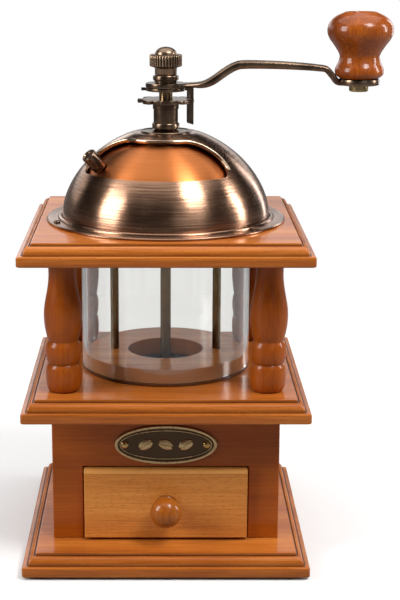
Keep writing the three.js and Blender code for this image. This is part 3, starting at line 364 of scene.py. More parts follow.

# %% [markdown]
# ## Wood
# The boards, posts and grip are beech, stained orange brown and varnished to a gloss. Beech has a
# quiet grain: broad soft bands of tone, fine fibres, and short dark flecks a few millimetres
# long, all running along the board. The grooves of the mouldings are darkened by painted shade,
# and the varnish is a clear coat over it all.

# %% Wood finishes


def tint(shader, value, start, end, code, least=0.0, most=1.0):
    """Lays a colour over the base colour, by shares that follow a value from start to end."""
    tree, base = shader.id_data, shader.inputs["Base Color"]
    limits = {"From Min": start, "From Max": end, "To Min": least, "To Max": most}
    share = add_node(tree, "MapRange", {"Value": value, **limits})
    below = base.links[0].from_socket
    mixed = add_node(tree, "Mix", {0: share, 6: below, 7: code}, data_type="RGBA")
    fill(shader, {"Base Color": mixed})


def stretched(tree, along, across, axis):
    """Object coordinates scaled so that a pattern's cell is that long and wide, in mm."""
    scale = [1 / (across * MM)] * 3
    scale["XYZ".index(axis)] = 1 / (along * MM)
    return add_node(tree, "Mapping", {"Vector": own_place(tree), "Scale": scale})


WOOD = "varnished_wood"  # the name of a material slot


def stained_beech(name, dark, even, light, axis, slot=WOOD, gloss=0.5, fleck_depth=0.4, rough=0.38):
    """Stained beech under varnish, with its grain along an axis."""
    material, tree, shader = surface(name)
    broad, fine = {"Scale": 1, "Detail": 3}, {"Scale": 1, "Detail": 4}
    # Real fibres are some 0.2 mm wide, too fine to show here, so they are drawn 0.9 mm wide
    bands = add_node(tree, "TexNoise", {"Vector": stretched(tree, 260, 16, axis), **broad})
    fibres = add_node(tree, "TexNoise", {"Vector": stretched(tree, 34, 0.9, axis), **fine})
    flecks = add_node(tree, "TexVoronoi", {"Vector": stretched(tree, 4.5, 0.75, axis), "Scale": 1})
    tone = add_node(tree, "Mix", {0: 0.42, 2: bands, 3: fibres}, data_type="FLOAT")
    stain = add_node(tree, "ValToRGB", {"Fac": tone}, ((0.3, dark), (0.5, even), (0.7, light)))
    relief = add_node(tree, "Bump", {"Height": fibres, "Strength": 0.12, "Distance": 0.0002})
    fill(shader, {"Base Color": stain, "Normal": relief, "Roughness": rough, "Coat Weight": gloss})
    fill(shader, {"Specular IOR Level": 0.1, "Coat Roughness": 0.13})
    tint(shader, flecks, 0.08, 0.34, dark, fleck_depth, 0.0)
    # Painted shade: where an occlusion test finds a groove or hollow closed in, the colour darkens towards a
    # near black brown
    groove_shade = add_node(tree, "AmbientOcclusion", {"Distance": 5 * MM}, samples=8, only_local=True)
    tint(shader, groove_shade.outputs["AO"], 0.45, 0.95, "#2e1204", 0.8, 0.0)
    return material


STAIN, DEEP_STAIN = ("#7c3c10", "#a5591e", "#c37731"), ("#7a3608", "#93460d", "#a65512")
CASE_STAIN = ("#823c0a", "#9d4c0f", "#b15b16")
# Glossy and orange, with the grain from left to right
beech_x = stained_beech("varnished_beech_across", *STAIN, "X")
# Deeper stain and a thinner coat, so the posts keep their colour beside the bright room
beech_z = stained_beech("varnished_beech_upright", *DEEP_STAIN, "Z", gloss=0.3)
# The same stain with the grain from front to back, and a full gloss
beech_y = stained_beech("varnished_beech_deep", *DEEP_STAIN, "Y")
# Even red brown, the calm ground behind the drawer and the plate
case_beech = stained_beech("varnished_beech_case", *CASE_STAIN, "X", gloss=0.3)
# The darkest wood, as a grip gets that is handled
turned_beech = stained_beech("varnished_beech_turned", "#5a2407", "#8d430d", "#b2621b", "Z")
# Amber and glossy, so the ball of the knob has one round light
amber_beech = stained_beech("amber_beech", "#73370a", "#944d11", "#ab6420", "Z")
# Pale orange, a light ring behind the glass
floor_beech = stained_beech("varnished_beech_floor", "#a04f1a", "#c5722e", "#d88d48", "X")
# Hardly stained, so the dark flecks of the beech stand out
HONEY = ("#9d561f", "#c97c35", "#dc9548")
honey_beech = stained_beech("honey_beech", *HONEY, "X", "honey_wood", gloss=0.3, fleck_depth=0.65)
# Bare and dull, as inside any drawer
BARE = ("#b98f5c", "#cfa674", "#dcb98a")
raw_beech = stained_beech("raw_beech", *BARE, "Y", "inner_wood", gloss=0.0, rough=0.7)
print("wood: nine finishes")

# %% [markdown]
# ## The three boards
# Each board is a square slab with the same moulding round its upper edge: a ledge, a quarter
# round and a fine step up to the field. The moulding is cut by raising the top face in short
# lifts and shrinking it after each, so the corners mitre by themselves. The bores and the
# recess for the glass are then cut out.

# %% Boards with a moulded edge
PLINTH, MID, TOP = 150, 148, 148.6  # widths, mm
RODS = (-28, 28)  # where the two tie rods stand
ROD_BORE, SPINDLE_BORE = 2.6, 3.9  # radii
MOULDING = [  # (how far in from the edge, how high), mm
    (0.26, 0.26), (0.0, 0.9), (0.0, 4.5), (0.26, 5.14), (0.9, 5.4), (2.3, 5.4), (2.45, 5.0),
    (2.8, 5.0), *arc(6.0, 5.3, 3.1, 4.5, 176, 96, 9), (6.1, 9.3), (6.65, 9.3), (6.75, 10.8),
    (6.95, 11.1), (7.3, 11.2),
]


def corners(node_name):
    """The two corners of a CAD node's box, in mm."""
    return [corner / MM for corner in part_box(node_name)]


def heights(node_name):
    """The lowest and the highest height of a CAD node, in mm."""
    return [corner.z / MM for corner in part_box(node_name)]


def moulded_board(name, width, bottom):
    """A square board whose top face is lifted and shrunk along the moulding's outline."""
    inset, height = 0.9, 0.1
    half = width / 2
    foot = half - inset
    piece = block(name, (-foot, -foot, bottom), (foot, foot, bottom + height))
    bpy.ops.object.mode_set(mode="EDIT")
    # The four upright edges are rounded while the board is still a thin slice
    pick(piece, "EDGE", lambda e: abs(middle(e).x) > 9 and abs(middle(e).y) > 9)
    bpy.ops.mesh.bevel(offset=1.3 * MM, segments=4)
    field = (1.8 * (half - 8) * MM) ** 2  # less than the top face, more than any other
    for next_inset, next_height in MOULDING:
        pick(piece, "FACE", lambda f: f.calc_area() > field and f.normal.z > 0.9)
        lift = {"value": (0, 0, (next_height - height) * MM)}
        bpy.ops.mesh.extrude_region_move(TRANSFORM_OT_translate=lift)
        scale = (half - next_inset) / (half - inset)
        bpy.ops.transform.resize(value=(scale, scale, 1), center_override=(0, 0, 0))
        inset, height = next_inset, next_height
    close_up()
    return piece


mid_low, mid_high = heights("mid_board")
top_low, top_high = heights("top_board")
glass_low, glass_high = heights("glass_hopper")
plinth = moulded_board("plinth_board", PLINTH, heights("base_plinth")[0])
dress(plinth, 30, beech_x, "base_plinth")

middle_board = moulded_board("middle_board", MID, mid_low)
drill(middle_board, 21.7, mid_low - 1, mid_high + 1, sides=96)  # for the outer burr
drill(middle_board, 25.2, mid_high - 5, mid_high + 1, sides=96)  # for the burr's flange
for x in RODS:
    drill(middle_board, ROD_BORE, mid_low - 1, mid_high + 1, (x, 0))
dress(middle_board, 30, beech_x, "mid_board")

upper_board = moulded_board("upper_board", TOP, top_low)
drill(upper_board, 41, top_low - 1, top_high + 1, sides=128)  # the way into the hopper
drill(upper_board, 46.3, top_low - 1, glass_high, sides=128)  # the seat of the glass
strap_seat = block("strap_seat", (-47.9, -6.8, top_high - 1.6), (47.9, 6.8, top_high + 1))
combine("DIFFERENCE", upper_board, strap_seat)
dress(upper_board, 30, beech_x, "top_board")
print("boards:", [len(p.data.polygons) for p in (plinth, middle_board, upper_board)], "faces")

# %% [markdown]
# ## The posts
# Four posts carry the top board. Each is turned with a foot, two beads and a long vase. One is
# turned smoothly, and its copies stand at the four corners.

# %% Posts


def copy_of(piece, name, dx=0, dy=0):
    """A copy with its own mesh, moved sideways by a distance in mm."""
    twin = piece.copy()
    twin.data = piece.data.copy()
    twin.name = name
    bpy.context.collection.objects.link(twin)
    twin.data.transform(Matrix.Translation((dx * MM, dy * MM, 0)))
    return twin


POST_RADIUS, POST_HEIGHT = 9.8, 70.3
POST_SHARES = [  # (share of the height, share of the radius)
    (0.0, 0.72), (0.008, 0.79), (0.022, 0.86), (0.05, 0.92), (0.105, 0.955), (0.15, 0.945),
    (0.185, 0.905), (0.205, 0.84), (0.213, 0.80), (0.221, 0.84), (0.24, 0.895), (0.27, 0.935),
    (0.30, 0.95), (0.335, 0.93), (0.362, 0.875), (0.38, 0.80), (0.388, 0.785), (0.397, 0.815),
    (0.42, 0.865), (0.45, 0.91), (0.49, 0.96), (0.53, 0.988), (0.575, 1.0), (0.62, 0.985),
    (0.66, 0.945), (0.70, 0.892), (0.75, 0.82), (0.80, 0.762), (0.84, 0.73), (0.88, 0.718),
    (0.92, 0.722), (0.96, 0.745), (1.0, 0.78),
]
outline = [(r * POST_RADIUS, mid_high + share * POST_HEIGHT) for share, r in POST_SHARES]
first_post = turned("post_master", [(0, mid_high), *outline, (0, mid_high + POST_HEIGHT)], 48)
settle(first_post, 50)
post_names = [name for name in sorted(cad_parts) if name.startswith("post_")]
for node_name in post_names:
    low, high = corners(node_name)
    spot = (low + high) / 2
    post = copy_of(first_post, node_name.replace("post_", "turned_post_"), spot.x, spot.y)
    dress(post, None, beech_z, node_name)
bpy.data.objects.remove(first_post)
print("posts:", len(post_names))

# %% [markdown]
# ## The case
# Four panels stand between the plinth and the middle board. The front one is a frame round the
# drawer. They are plain boards, so their whole craft is in eased edges that catch the light.

# %% Case panels


def ease(piece, width, segments=2, over=30):
    """Rounds the edges that are sharper than an angle in degrees, by a width in mm."""
    limits = {"limit_method": "ANGLE", "angle_limit": radians(over)}
    return apply(piece, "BEVEL", width=width * MM, segments=segments, **limits)


def panel(name, node_name, material, body="housing", eased=0.7):
    """A board the size of a CAD node, with eased edges."""
    piece = ease(block(name, *corners(node_name)), eased, 3)
    dress(piece, 30, material, node_name, body)


panel("case_rear_panel", "case_rear", case_beech)
panel("case_left_panel", "case_left", beech_y)
panel("case_right_panel", "case_right", beech_y)
front_low, front_high = corners("case_front")
drawer_low, drawer_high = corners("drawer_front")
plate_low, plate_high = corners("oval_plate")
plate_middle = (plate_low.z + plate_high.z) / 2
PIN_PLACE = 21.6  # how far the plate's pins stand from its middle
front = block("case_front_frame", front_low, front_high)
opening_low = (drawer_low.x - 0.6, front_low.y - 2, front_low.z - 2)
opening_high = (drawer_high.x + 0.6, front_high.y + 2, drawer_high.z - 0.7)
combine("DIFFERENCE", front, block("opening", opening_low, opening_high))
ease(front, 0.6, 3)
for side in (-1, 1):
    hole = cylinder(1.4, -7.3, 2)
    hole.rotation_euler.x = pi / 2
    hole.location = (side * PIN_PLACE * MM, front_low.y * MM, plate_middle * MM)
    bpy.ops.object.transform_apply(location=True, rotation=True, scale=True)
    combine("DIFFERENCE", front, hole)
dress(front, 30, case_beech, "case_front")
print("case: three panels and a front frame")

# %% [markdown]
# ## The drawer
# The drawer's front is a pale board, left lighter than the case. Its upper edge is well rounded
# and carries a painted highlight, a paler band; its other edges are only eased, and a thin gap
# shows above it. Behind it is a tray of thin unvarnished boards. The knob is a turned ball with a flared
# neck.

# %% Drawer front, tray and knob
drawer_front = block(
    "drawer_front_board", (*drawer_low.xy, drawer_low.z + 0.8), (*drawer_high.xy, drawer_high.z - 1.5)
)


def on_front(edge):
    """True for an edge of the board's front face."""
    return middle(edge).y < drawer_low.y + 0.01


def at_side_or_foot(edge):
    """True for an edge at a side or the bottom of the board."""
    return middle(edge).z < drawer_low.z + 2 or abs(middle(edge).x) > drawer_high.x - 0.01


bpy.ops.object.mode_set(mode="EDIT")
pick(drawer_front, "EDGE", lambda e: on_front(e) and middle(e).z > drawer_high.z - 2)
bpy.ops.mesh.bevel(offset=2.4 * MM, segments=4)
pick(drawer_front, "EDGE", lambda e: on_front(e) and at_side_or_foot(e))
bpy.ops.mesh.bevel(offset=0.9 * MM, segments=3)
bpy.ops.object.mode_set(mode="OBJECT")
ease(drawer_front, 0.4, over=60)
honey_shader = honey_beech.node_tree.nodes["Principled BSDF"]
up = add_node(honey_beech.node_tree, "SeparateXYZ", {0: own_place(honey_beech.node_tree)}).outputs[2]
# Painted highlight: a pale band along the rounded upper edge of the drawer's front
highlight_low, highlight_high = ((drawer_high.z - down) * MM for down in (3.6, 3.2))
tint(honey_shader, up, highlight_low, highlight_high, "#f7b968", 0.0, 0.6)
dress(drawer_front, 20, honey_beech, "drawer_front", "drawer")
for end in ("side_left", "side_right", "back", "bottom"):
    panel("tray_" + end, "drawer_" + end, raw_beech, "drawer", 0.4)
for side in ("left", "right"):
    panel("case_runner_" + side, "drawer_runner_" + side, raw_beech, eased=0.4)

drawer_middle = (drawer_low.z + drawer_high.z) / 2
knob_outline = [
    (0, 0), (6.2, 0), (6.2, 0.8), (5.5, 1.2), (4.75, 2.0), (4.6, 3.0), (4.85, 3.9),
    *arc(0, 9.9, 8.2, 7, -50, 86, 18), (0, 16.9),
]
knob = turned("turned_knob", knob_outline, 64)
knob.rotation_euler.x = pi / 2
knob.location = (0, drawer_low.y * MM, (drawer_middle - 1) * MM)
dress(knob, 60, amber_beech, "drawer_knob", "drawer")
print("drawer: front, tray, knob")

# %% [markdown]
# ## Metal
# The dome and the fittings are steel with an antique bronze plating: brown, a little darker
# where the brush left it. The dome and the copper lid are brushed round the axis, so each bright
# reflection is drawn out into a strip. Rods were turned, and fine rings round a thin bar draw
# the light along it, which a tangent along Z stands for. Small fittings are only polished.


def axis_distance(tree):
    """A point's distance from the Z axis, in metres."""
    flat = add_node(tree, "VectorMath", {0: own_place(tree), 1: (1, 1, 0)}, operation="MULTIPLY")
    return add_node(tree, "VectorMath", {0: flat}, operation="LENGTH")


def metal(name, dark, light, rough, streak=None, grain=0.5, upright=False):
    """Plated metal. Streaks run round the Z axis, and grain is their pitch in mm.

    Real brush lines are about 0.1 mm apart, too fine to show here, so they are drawn coarser.
    A streak is as many times longer than its pitch as streak says.
    """
    material, tree, shader = surface(name)
    place = own_place(tree)
    cloud = add_node(tree, "TexNoise", {"Vector": place, "Scale": 1 / (9 * MM), "Detail": 3})
    pattern = cloud
    if streak:
        split = add_node(tree, "SeparateXYZ", {0: place}).outputs
        climb = add_node(tree, "Math", {0: split[2], 1: axis_distance(tree)}, operation="SUBTRACT")
        track = add_node(tree, "CombineXYZ", {0: split[0], 1: split[1], 2: climb})
        size = 1 / (grain * MM)
        scale = (size / streak, size / streak, size)
        lines = add_node(tree, "Mapping", {"Vector": track, "Scale": scale})
        pattern = add_node(tree, "TexNoise", {"Vector": lines, "Scale": 1, "Detail": 2})
        relief = add_node(tree, "Bump", {"Height": pattern, "Strength": 0.1, "Distance": 0.00005})
        around = add_node(tree, "Tangent", direction_type="RADIAL", axis="Z")
        fill(shader, {"Normal": relief, "Tangent": around})
        fill(shader, {"Anisotropic": 0.8, "Anisotropic Rotation": 0.25})
    if upright:
        upwards = add_node(tree, "CombineXYZ", {2: 1.0})
        fill(shader, {"Tangent": upwards, "Anisotropic": 0.75})
    plating = add_node(tree, "ValToRGB", {"Fac": pattern}, ((0.35, dark), (0.65, light)))
    spread = {"To Min": max(rough - 0.05, 0.02), "To Max": rough + 0.05}
    wear = add_node(tree, "MapRange", {"Value": cloud, **spread})
    fill(shader, {"Metallic": 1.0, "Base Color": plating, "Roughness": wear})
    return material


# Brown with fine rings, and light drawn out into strips
brushed_bronze = metal("brushed_antique_bronze", "#755646", "#b28d72", 0.26, streak=60, grain=0.35)
# Darker and smooth, with small sharp lights
polished_bronze = metal("polished_antique_bronze", "#58473a", "#8a735f", 0.26)
# Rubbed almost clear of its brown, so it outlines the window
bright_bronze = metal("bright_bronze_edge", "#8f7763", "#c4ab94", 0.15)
# Red against the brown, with one soft fan of light
copper = metal("brushed_copper", "#a86233", "#b56c3c", 0.32, streak=60)
# Dim grey gold with a light along each rod
turned_brass = metal("turned_brass", "#7d6849", "#947b5a", 0.24, upright=True)
# Clean yellow, for two sparks on the dark plate
bright_brass = metal("bright_brass", "#b18f58", "#d6b67c", 0.2)
# Brass gone brown, as nuts and screws get that nobody polishes
dull_brass = metal("dull_brass", "#806c4b", "#ab946a", 0.28)
# Nearly black: painted shade, for the pieces that stay in the shade
shade_dark_metal = metal("shade_dark_bronze", "#2a211b", "#3c3027", 0.4)
# Rough and grey, as cast burrs and their screws are
cast_steel = metal("cast_steel", "#3a3836", "#565350", 0.48)
# Plain bright grey, as drawn wire is
spring_steel = metal("spring_steel", "#7f7d7a", "#9b9894", 0.3)
print("metal: ten finishes, and one more for the cap nut")

# %% [markdown]
# ## The hopper
# A clear glass cylinder stands in a rebate of a round wooden floor and reaches into the top
# board. Glass needs real thickness for its bright edges, so it is turned as a ring with rounded
# lips. The floor is one disc, but its colour changes with the distance from the middle: darker
# end grain and painted shade in the bore, a light rim, and a painted shade line where it meets the board.

# %% Glass, hopper floor, rods
GLASS_RADIUS, GLASS_WALL = 46, 2.4
# Colourless, and bright only at its edges
glass, _, glass_shader = surface("clear_soda_glass")
fill(glass_shader, {"Base Color": "#f6f6f4", "Roughness": 0.0, "IOR": 1.5})
fill(glass_shader, {"Transmission Weight": 1.0})
inside = GLASS_RADIUS - GLASS_WALL
start = (inside, (glass_low + glass_high) / 2)
wall = [
    start, (inside, glass_low), (GLASS_RADIUS, glass_low), (GLASS_RADIUS, glass_high),
    (inside, glass_high), start,
]
hopper = turned("glass_cylinder", soften(wall, 0.7), 128)
dress(hopper, 25, glass, "glass_hopper")

floor_low, floor_high = heights("hopper_floor")
floor_middle = (20.4, (floor_low + floor_high) / 2)
disc = [
    floor_middle, (20.4, floor_low), (46, floor_low), (46, glass_low), (43.3, glass_low),
    (43.3, floor_high), (20.4, floor_high), floor_middle,
]
hopper_floor = turned("hopper_floor_disc", soften(disc, 0.5), 128)
for x in RODS:
    drill(hopper_floor, ROD_BORE, floor_low - 1, floor_high + 1, (x, 0))
floor_shader = floor_beech.node_tree.nodes["Principled BSDF"]
reach = axis_distance(floor_beech.node_tree)
tint(floor_shader, reach, 20.6 * MM, 21.2 * MM, "#8a430f", 0.7, 0.0)  # darker bore wall: end grain, and painted shade inside the bore
tint(floor_shader, reach, 42.9 * MM, 43.2 * MM, "#a56f4c")  # the rim
tint(floor_shader, reach, 45.4 * MM, 45.7 * MM, "#4f2a12")  # painted shade: a dark line at the glass's foot
dress(hopper_floor, 40, floor_beech, "hopper_floor")

for side, x in zip(("left", "right"), RODS):
    low, high = heights("tie_rod_" + side)
    bar = soften([(0, low), (2.3, low), (2.3, high), (0, high)], 0.4)
    tie_rod = turned("brass_rod_" + side, bar, 40, (x, 0))
    dress(tie_rod, 40, turned_brass, "tie_rod_" + side)
print("hopper: glass, floor, two rods")

# %% [markdown]
# ## The dome
# The cover was spun from sheet on a lathe, so it is turned here too. Its silhouette isn't quite
# a circle: the sum of two powers gives the fuller shoulder. The same rule also places the inner
# lid, which is the same shape a little way inside.

# %% The dome's silhouette
DOME_RADIUS, DOME_HEIGHT = 55.6, 46.8
DOME_POWERS = (1.878, 1.768)
SKIN_FOOT = top_high + 2.9
PLATEAU_RADIUS = 17.5


def on_skin(turn):
    """The skin's (radius, height) at a turn from 0 at the foot to 90 degrees."""
    across = cos(radians(turn)) ** (2 / DOME_POWERS[0])
    up = sin(radians(turn)) ** (2 / DOME_POWERS[1])
    return DOME_RADIUS * across, SKIN_FOOT + DOME_HEIGHT * up


def skin(turn, inset=0):
    """The skin's point at a turn, moved square to the skin by an inset in mm."""
    (r0, z0), (r1, z1) = on_skin(max(turn - 0.05, 0)), on_skin(turn + 0.05)
    r, z = on_skin(turn)
    length = hypot(r1 - r0, z1 - z0)
    return r - inset * (z1 - z0) / length, z - inset * (r0 - r1) / length


def turn_where(passed):
    """The first turn, in degrees, at which the skin's point passes a test."""
    low, high = 0.0, 89.0
    for _ in range(40):
        half = (low + high) / 2
        low, high = (low, half) if passed(*skin(half)) else (half, high)
    return high


def turn_above(degrees):
    """The turn at which the skin is seen that high from the centre of the dome's foot."""
    return turn_where(lambda r, z: atan2(z - SKIN_FOOT, r) / radians(1) > degrees)


plateau_turn = turn_where(lambda r, z: r < PLATEAU_RADIUS)
plateau = skin(plateau_turn)[1]
turns = [plateau_turn * i / 56 for i in range(57)]
outer = [skin(t) for t in turns]
inner = [skin(t, 1.0) for t in turns if skin(t, 1.0)[1] < plateau - 1.05]
flange_foot = [(54.6, 0.6), (54.6, 0), (63.6, 0), (64, 0.4), (64, 1.0), (63.6, 1.4), (58.6, 1.4)]
cover_outline = [
    *[(r, top_high + z) for r, z in flange_foot], *arc(56.9, top_high + 1.4, 1.3, 1.3, 0, 180, 10),
    *outer[1:-1], (17.9, plateau - 0.3), (17.3, plateau), (5.9, plateau), (5.9, plateau - 1),
    (PLATEAU_RADIUS - 1, plateau - 1), *reversed(inner), (54.6, top_high + 0.6),
]
cover = turned("dome_shell", cover_outline, 180)
print("dome: plateau at", round(plateau, 2), "mm")

# %% [markdown]
# ## The window and its lip
# The window is cut by a block whose outline is drawn on the dome in two angles: how far round
# from the front, and how high above the foot. The raised lip is a round bar swept along the
# window's sides and top, half sunk in the skin.

# %% Window and lip
WINDOW = (-75, 49, 28, 59.5)  # from, to, low, high, degrees
LOW_CORNER, HIGH_CORNER = 7.5, 20  # mm
CORNER_STEPS = 10  # along a lower corner; the wide upper ones take twice as many
SCREW_CIRCLE, SCREW_DEGREES = 60.9, (200, 320, 80)  # where the flange screws stand


def about(radius, degrees, height):
    """A point at a distance from the Z axis, in mm, at a bearing from +X in degrees."""
    return (radius * cos(radians(degrees)), radius * sin(radians(degrees)), height)


def window_outline(grow):
    """Points (round, up) in degrees, from the lower right corner up and round."""
    grown = grow / DOME_RADIUS / radians(1)
    low, high = WINDOW[2] - grown, WINDOW[3] + grown
    below, above = ((corner + grow) / DOME_RADIUS / radians(1) for corner in (LOW_CORNER, HIGH_CORNER))
    start, end = (WINDOW[i] + s * grown / cos(radians(low)) for i, s in ((0, -1), (1, 1)))
    low_wide, high_wide = below / cos(radians(low + below)), above / cos(radians(high - above))
    top_line = [(end - high_wide + (start + 2 * high_wide - end) * i / 24, high) for i in range(1, 24)]
    low_line = [(start + low_wide + (end - 2 * low_wide - start) * i / 24, low) for i in range(1, 24)]
    upper = [
        *arc(end - high_wide, high - above, high_wide, above, 0, 90, 2 * CORNER_STEPS), *top_line,
        *arc(start + high_wide, high - above, high_wide, above, 90, 180, 2 * CORNER_STEPS),
    ]
    lower = [
        *arc(start + low_wide, low + below, low_wide, below, 180, 270, CORNER_STEPS), *low_line,
        *arc(end - low_wide, low + below, low_wide, below, 270, 360, CORNER_STEPS),
    ]
    return upper, lower


def plate_of(name, points):
    """A flat or bent face through points in mm, ready to be raised to a solid."""
    shape = {"vertices": len(points), "fill_type": "NGON"}
    piece = fresh(bpy.ops.mesh.primitive_circle_add, name, **shape)
    for vertex, point in zip(piece.data.vertices, points):
        vertex.co = [c * MM for c in point]
    bpy.ops.object.mode_set(mode="EDIT")
    bpy.ops.mesh.select_all(action="SELECT")
    return piece


def swept_bar(name, points, radius, sides=4):
    """A round bar along points in mm, closed at both ends."""
    bpy.ops.object.select_all(action="DESELECT")
    bpy.ops.curve.primitive_nurbs_path_add()
    path = bpy.context.object
    path.name = name
    curve = path.data
    curve.splines.clear()
    spline = curve.splines.new("POLY")
    spline.points.add(len(points) - 1)
    for spot, point in zip(spline.points, points):
        spot.co = (*[c * MM for c in point], 1)
    curve.dimensions = "3D"
    curve.bevel_depth = radius * MM
    curve.bevel_resolution = sides
    curve.use_fill_caps = True
    bpy.ops.object.convert(target="MESH")
    return bpy.context.object


upper, lower = window_outline(0)
inner_ring = []
for around, up in upper + lower:  # a ring well inside the dome, which is then drawn outwards
    radius, height = 18 * cos(radians(up)), SKIN_FOOT + 18 * sin(radians(up))
    inner_ring.append(about(radius, around - 90, height))
cutter = plate_of("window_cutter", inner_ring)
bpy.ops.mesh.extrude_region_move()
bpy.ops.transform.resize(value=(4.4, 4.4, 4.4), center_override=(0, 0, SKIN_FOOT * MM))
close_up()
combine("DIFFERENCE", cover, cutter)

upper, lower = window_outline(0.4)
lip_line = []
for around, up in [*lower[-4:], *upper, *lower[:4]]:
    radius, height = skin(turn_above(up), -0.35)
    lip_line.append(about(radius, around - 90, height))
lip = swept_bar("window_lip", lip_line, 0.95, 6)
dress(lip, 60, bright_bronze)
for degrees in SCREW_DEGREES:
    spot = about(SCREW_CIRCLE, degrees, 0)
    drill(cover, 1.4, top_high - 1, top_high + 3, spot, 24)
dress(cover, 32, brushed_bronze, "dome_cover")
print("window:", len(lip_line), "points of lip")

# %% [markdown]
# ## The inner lid
# A copper sheet of the same form lies just inside the cover and turns on a hub. The whole dome
# is turned once more, the faces outside the lid's sector are deleted, and Solidify gives the
# sheet its thickness. Its thumb stud is a turned post that stands square to the sheet.

# %% Lid and stud
LID_INSET, LID_WALL, LID_HUB = 2.1, 0.8, 14.0
LID_SECTOR = (-172.5, -32.5)  # degrees from +X
STUD_BEARING, STUD_UP = -148.5, 35  # degrees from +X, and above the foot


def outside_sector(face):
    """True for a face beyond the hub and outside the lid's sector."""
    place = middle(face)
    bearing = atan2(place.y, place.x) / radians(1)
    inside = LID_SECTOR[0] < bearing < LID_SECTOR[1]
    return not inside and hypot(place.x, place.y) > LID_HUB - 0.1


lid_start = turn_above(21)
lid_end = turn_where(lambda r, z: r < PLATEAU_RADIUS + LID_WALL)
lid_top = skin(lid_end, LID_INSET)[1]
lid_line = [skin(lid_start + (lid_end - lid_start) * i / 32, LID_INSET) for i in range(33)]
lid = turned("inner_lid_sheet", [*lid_line, (LID_HUB, lid_top), (8.5, lid_top)], 144)
bpy.ops.object.mode_set(mode="EDIT")
pick(lid, "FACE", outside_sector)
bpy.ops.mesh.delete(type="FACE")
close_up()
if sum(p.normal.z for p in lid.data.polygons) < 0:
    lid.data.flip_normals()
apply(lid, "SOLIDIFY", thickness=LID_WALL * MM, offset=-1)
dress(lid, 35, copper, "inner_lid", "lid")

stud_turn = turn_above(STUD_UP)
seat_r, seat_z = skin(stud_turn, LID_INSET)
face_r, face_z = skin(stud_turn)
stud_outline = [
    (0, 0.4), (3.8, 0.4), (4.0, 0.8), (4.0, 9.8), (3.85, 10.3), (3.5, 10.6), (3.05, 10.6),
    (2.9, 10.35), (2.75, 10.0), (1.3, 9.95), (0, 9.95),
]
stud = turned("thumb_stud", stud_outline, 48)
stud.rotation_euler = (0, atan2(face_r - seat_r, face_z - seat_z), radians(STUD_BEARING))
stud.location = Vector(about(seat_r, STUD_BEARING, seat_z)) * MM
dress(stud, 40, polished_bronze, "lid_stud", "lid")
print("lid: hub top at", round(lid_top, 2), "mm")

# %% [markdown]
# ## Neck, star nut and stopper
# A bush with a flared foot stands on the dome. On top of it turns the star nut that sets the
# grind, and a plate with a bent tab locks it. Flat fittings like these are stamped from sheet:
# an outline is laid down, raised to its thickness, and its edges are eased.

# %% Neck bush and the nut under it
bush_low, bush_high = heights("neck_bush")
flare = [(12 - 6.1 * sin(radians(a)), 1.7 - 1.3 * cos(radians(a))) for a in range(10, 91, 10)]
foot_rows = [  # (radius, height above the dome's top), mm
    (13.6, 0), (13.6, 0.5), (13.3, 0.85), (12.9, 0.85), (12.5, 0.5), *flare, (5.9, 1.75), (6.9, 1.85),
    (7.25, 2.2), (7.25, 4.3), (6.9, 4.75), (6.5, 4.8),
]
neck_outline = [
    (3.9, bush_low), (5.6, bush_low), (5.6, plateau), *[(r, plateau + z) for r, z in foot_rows],
    (6.5, bush_high - 3.1), (6.9, bush_high - 2.9), (6.9, bush_high - 0.3), (6.6, bush_high),
    (3.9, bush_high), (3.9, bush_low),
]
neck = turned("neck_bush_turned", neck_outline, 72)
dress(neck, 40, polished_bronze, "neck_bush")
nut_low, nut_high = heights("bush_nut")
step = nut_low + 3.2
bush_nut_outline = [
    (5.9, nut_low), (11.2, nut_low), (11.5, nut_low + 0.3), (11.5, step - 0.3), (11.2, step),
    (8.2, step), (8.2, nut_high), (5.9, nut_high), (5.9, nut_low),
]
bush_nut = turned("bush_nut_turned", bush_nut_outline, 64)
dress(bush_nut, 40, shade_dark_metal, "bush_nut")

print("neck bush and its nut")

# %% Stamped plates


def stamped(name, outline, low, high, eased=0):
    """A flat plate with the outline of (x, y) points in mm, and eased edges."""
    piece = plate_of(name, [(x, y, low) for x, y in outline])
    bpy.ops.mesh.extrude_region_move(TRANSFORM_OT_translate={"value": (0, 0, (high - low) * MM)})
    close_up()
    return ease(piece, eased, over=50) if eased else piece


star_low, star_high = heights("star_nut")
star_outline = []
for lobe in range(0, 360, 45):  # eight lobes with a valley after each
    star_outline += arc(0, 0, 15, 15, lobe - 9.6, lobe + 9.6, 6)
    star_outline += arc(0, 0, 12.4, 12.4, lobe + 11.6, lobe + 33.4, 6)
star = stamped("star_nut_plate", star_outline, star_low, star_high, 0.35)
drill(star, SPINDLE_BORE, star_low - 1, star_high + 1)
dress(star, 35, polished_bronze, "star_nut", "turning_set")

stop_low, stop_high = heights("stopper_plate")
plate_z = stop_high - 1.5
stopper = stamped("stopper_plate_bent", arc(0, 0, 10.5, 10.5, 0, 352, 44), plate_z, stop_high, 0.25)
tab = block("tab", (0, -2.7, plate_z), (14.95, 2.7, stop_high))
drop = block("drop", (13.25, -2.7, stop_low), (14.95, 2.7, stop_high))
combine("UNION", tab, drop)
bpy.ops.object.mode_set(mode="EDIT")
pick(tab, "EDGE", lambda e: middle(e).x > 14.9 and middle(e).z > stop_high - 0.01)
bpy.ops.mesh.bevel(offset=1.3 * MM, segments=6)
pick(tab, "EDGE", lambda e: middle(e).z < stop_low + 0.01 and middle(e).x < 13.3)
bpy.ops.mesh.bevel(offset=1.2 * MM, segments=3)
bpy.ops.object.mode_set(mode="OBJECT")
tab.rotation_euler.z = radians(22.5)
ear = block("ear", (0, -1.4, plate_z), (13, 1.4, stop_high))
ear.rotation_euler.z = radians(168.75)
combine("UNION", stopper, tab, ear)
drill(stopper, SPINDLE_BORE, plate_z - 1, stop_high + 1)
ease(stopper, 0.15, over=60)
dress(stopper, 35, polished_bronze, "stopper_plate", "crank_set")
print("star nut and stopper plate")
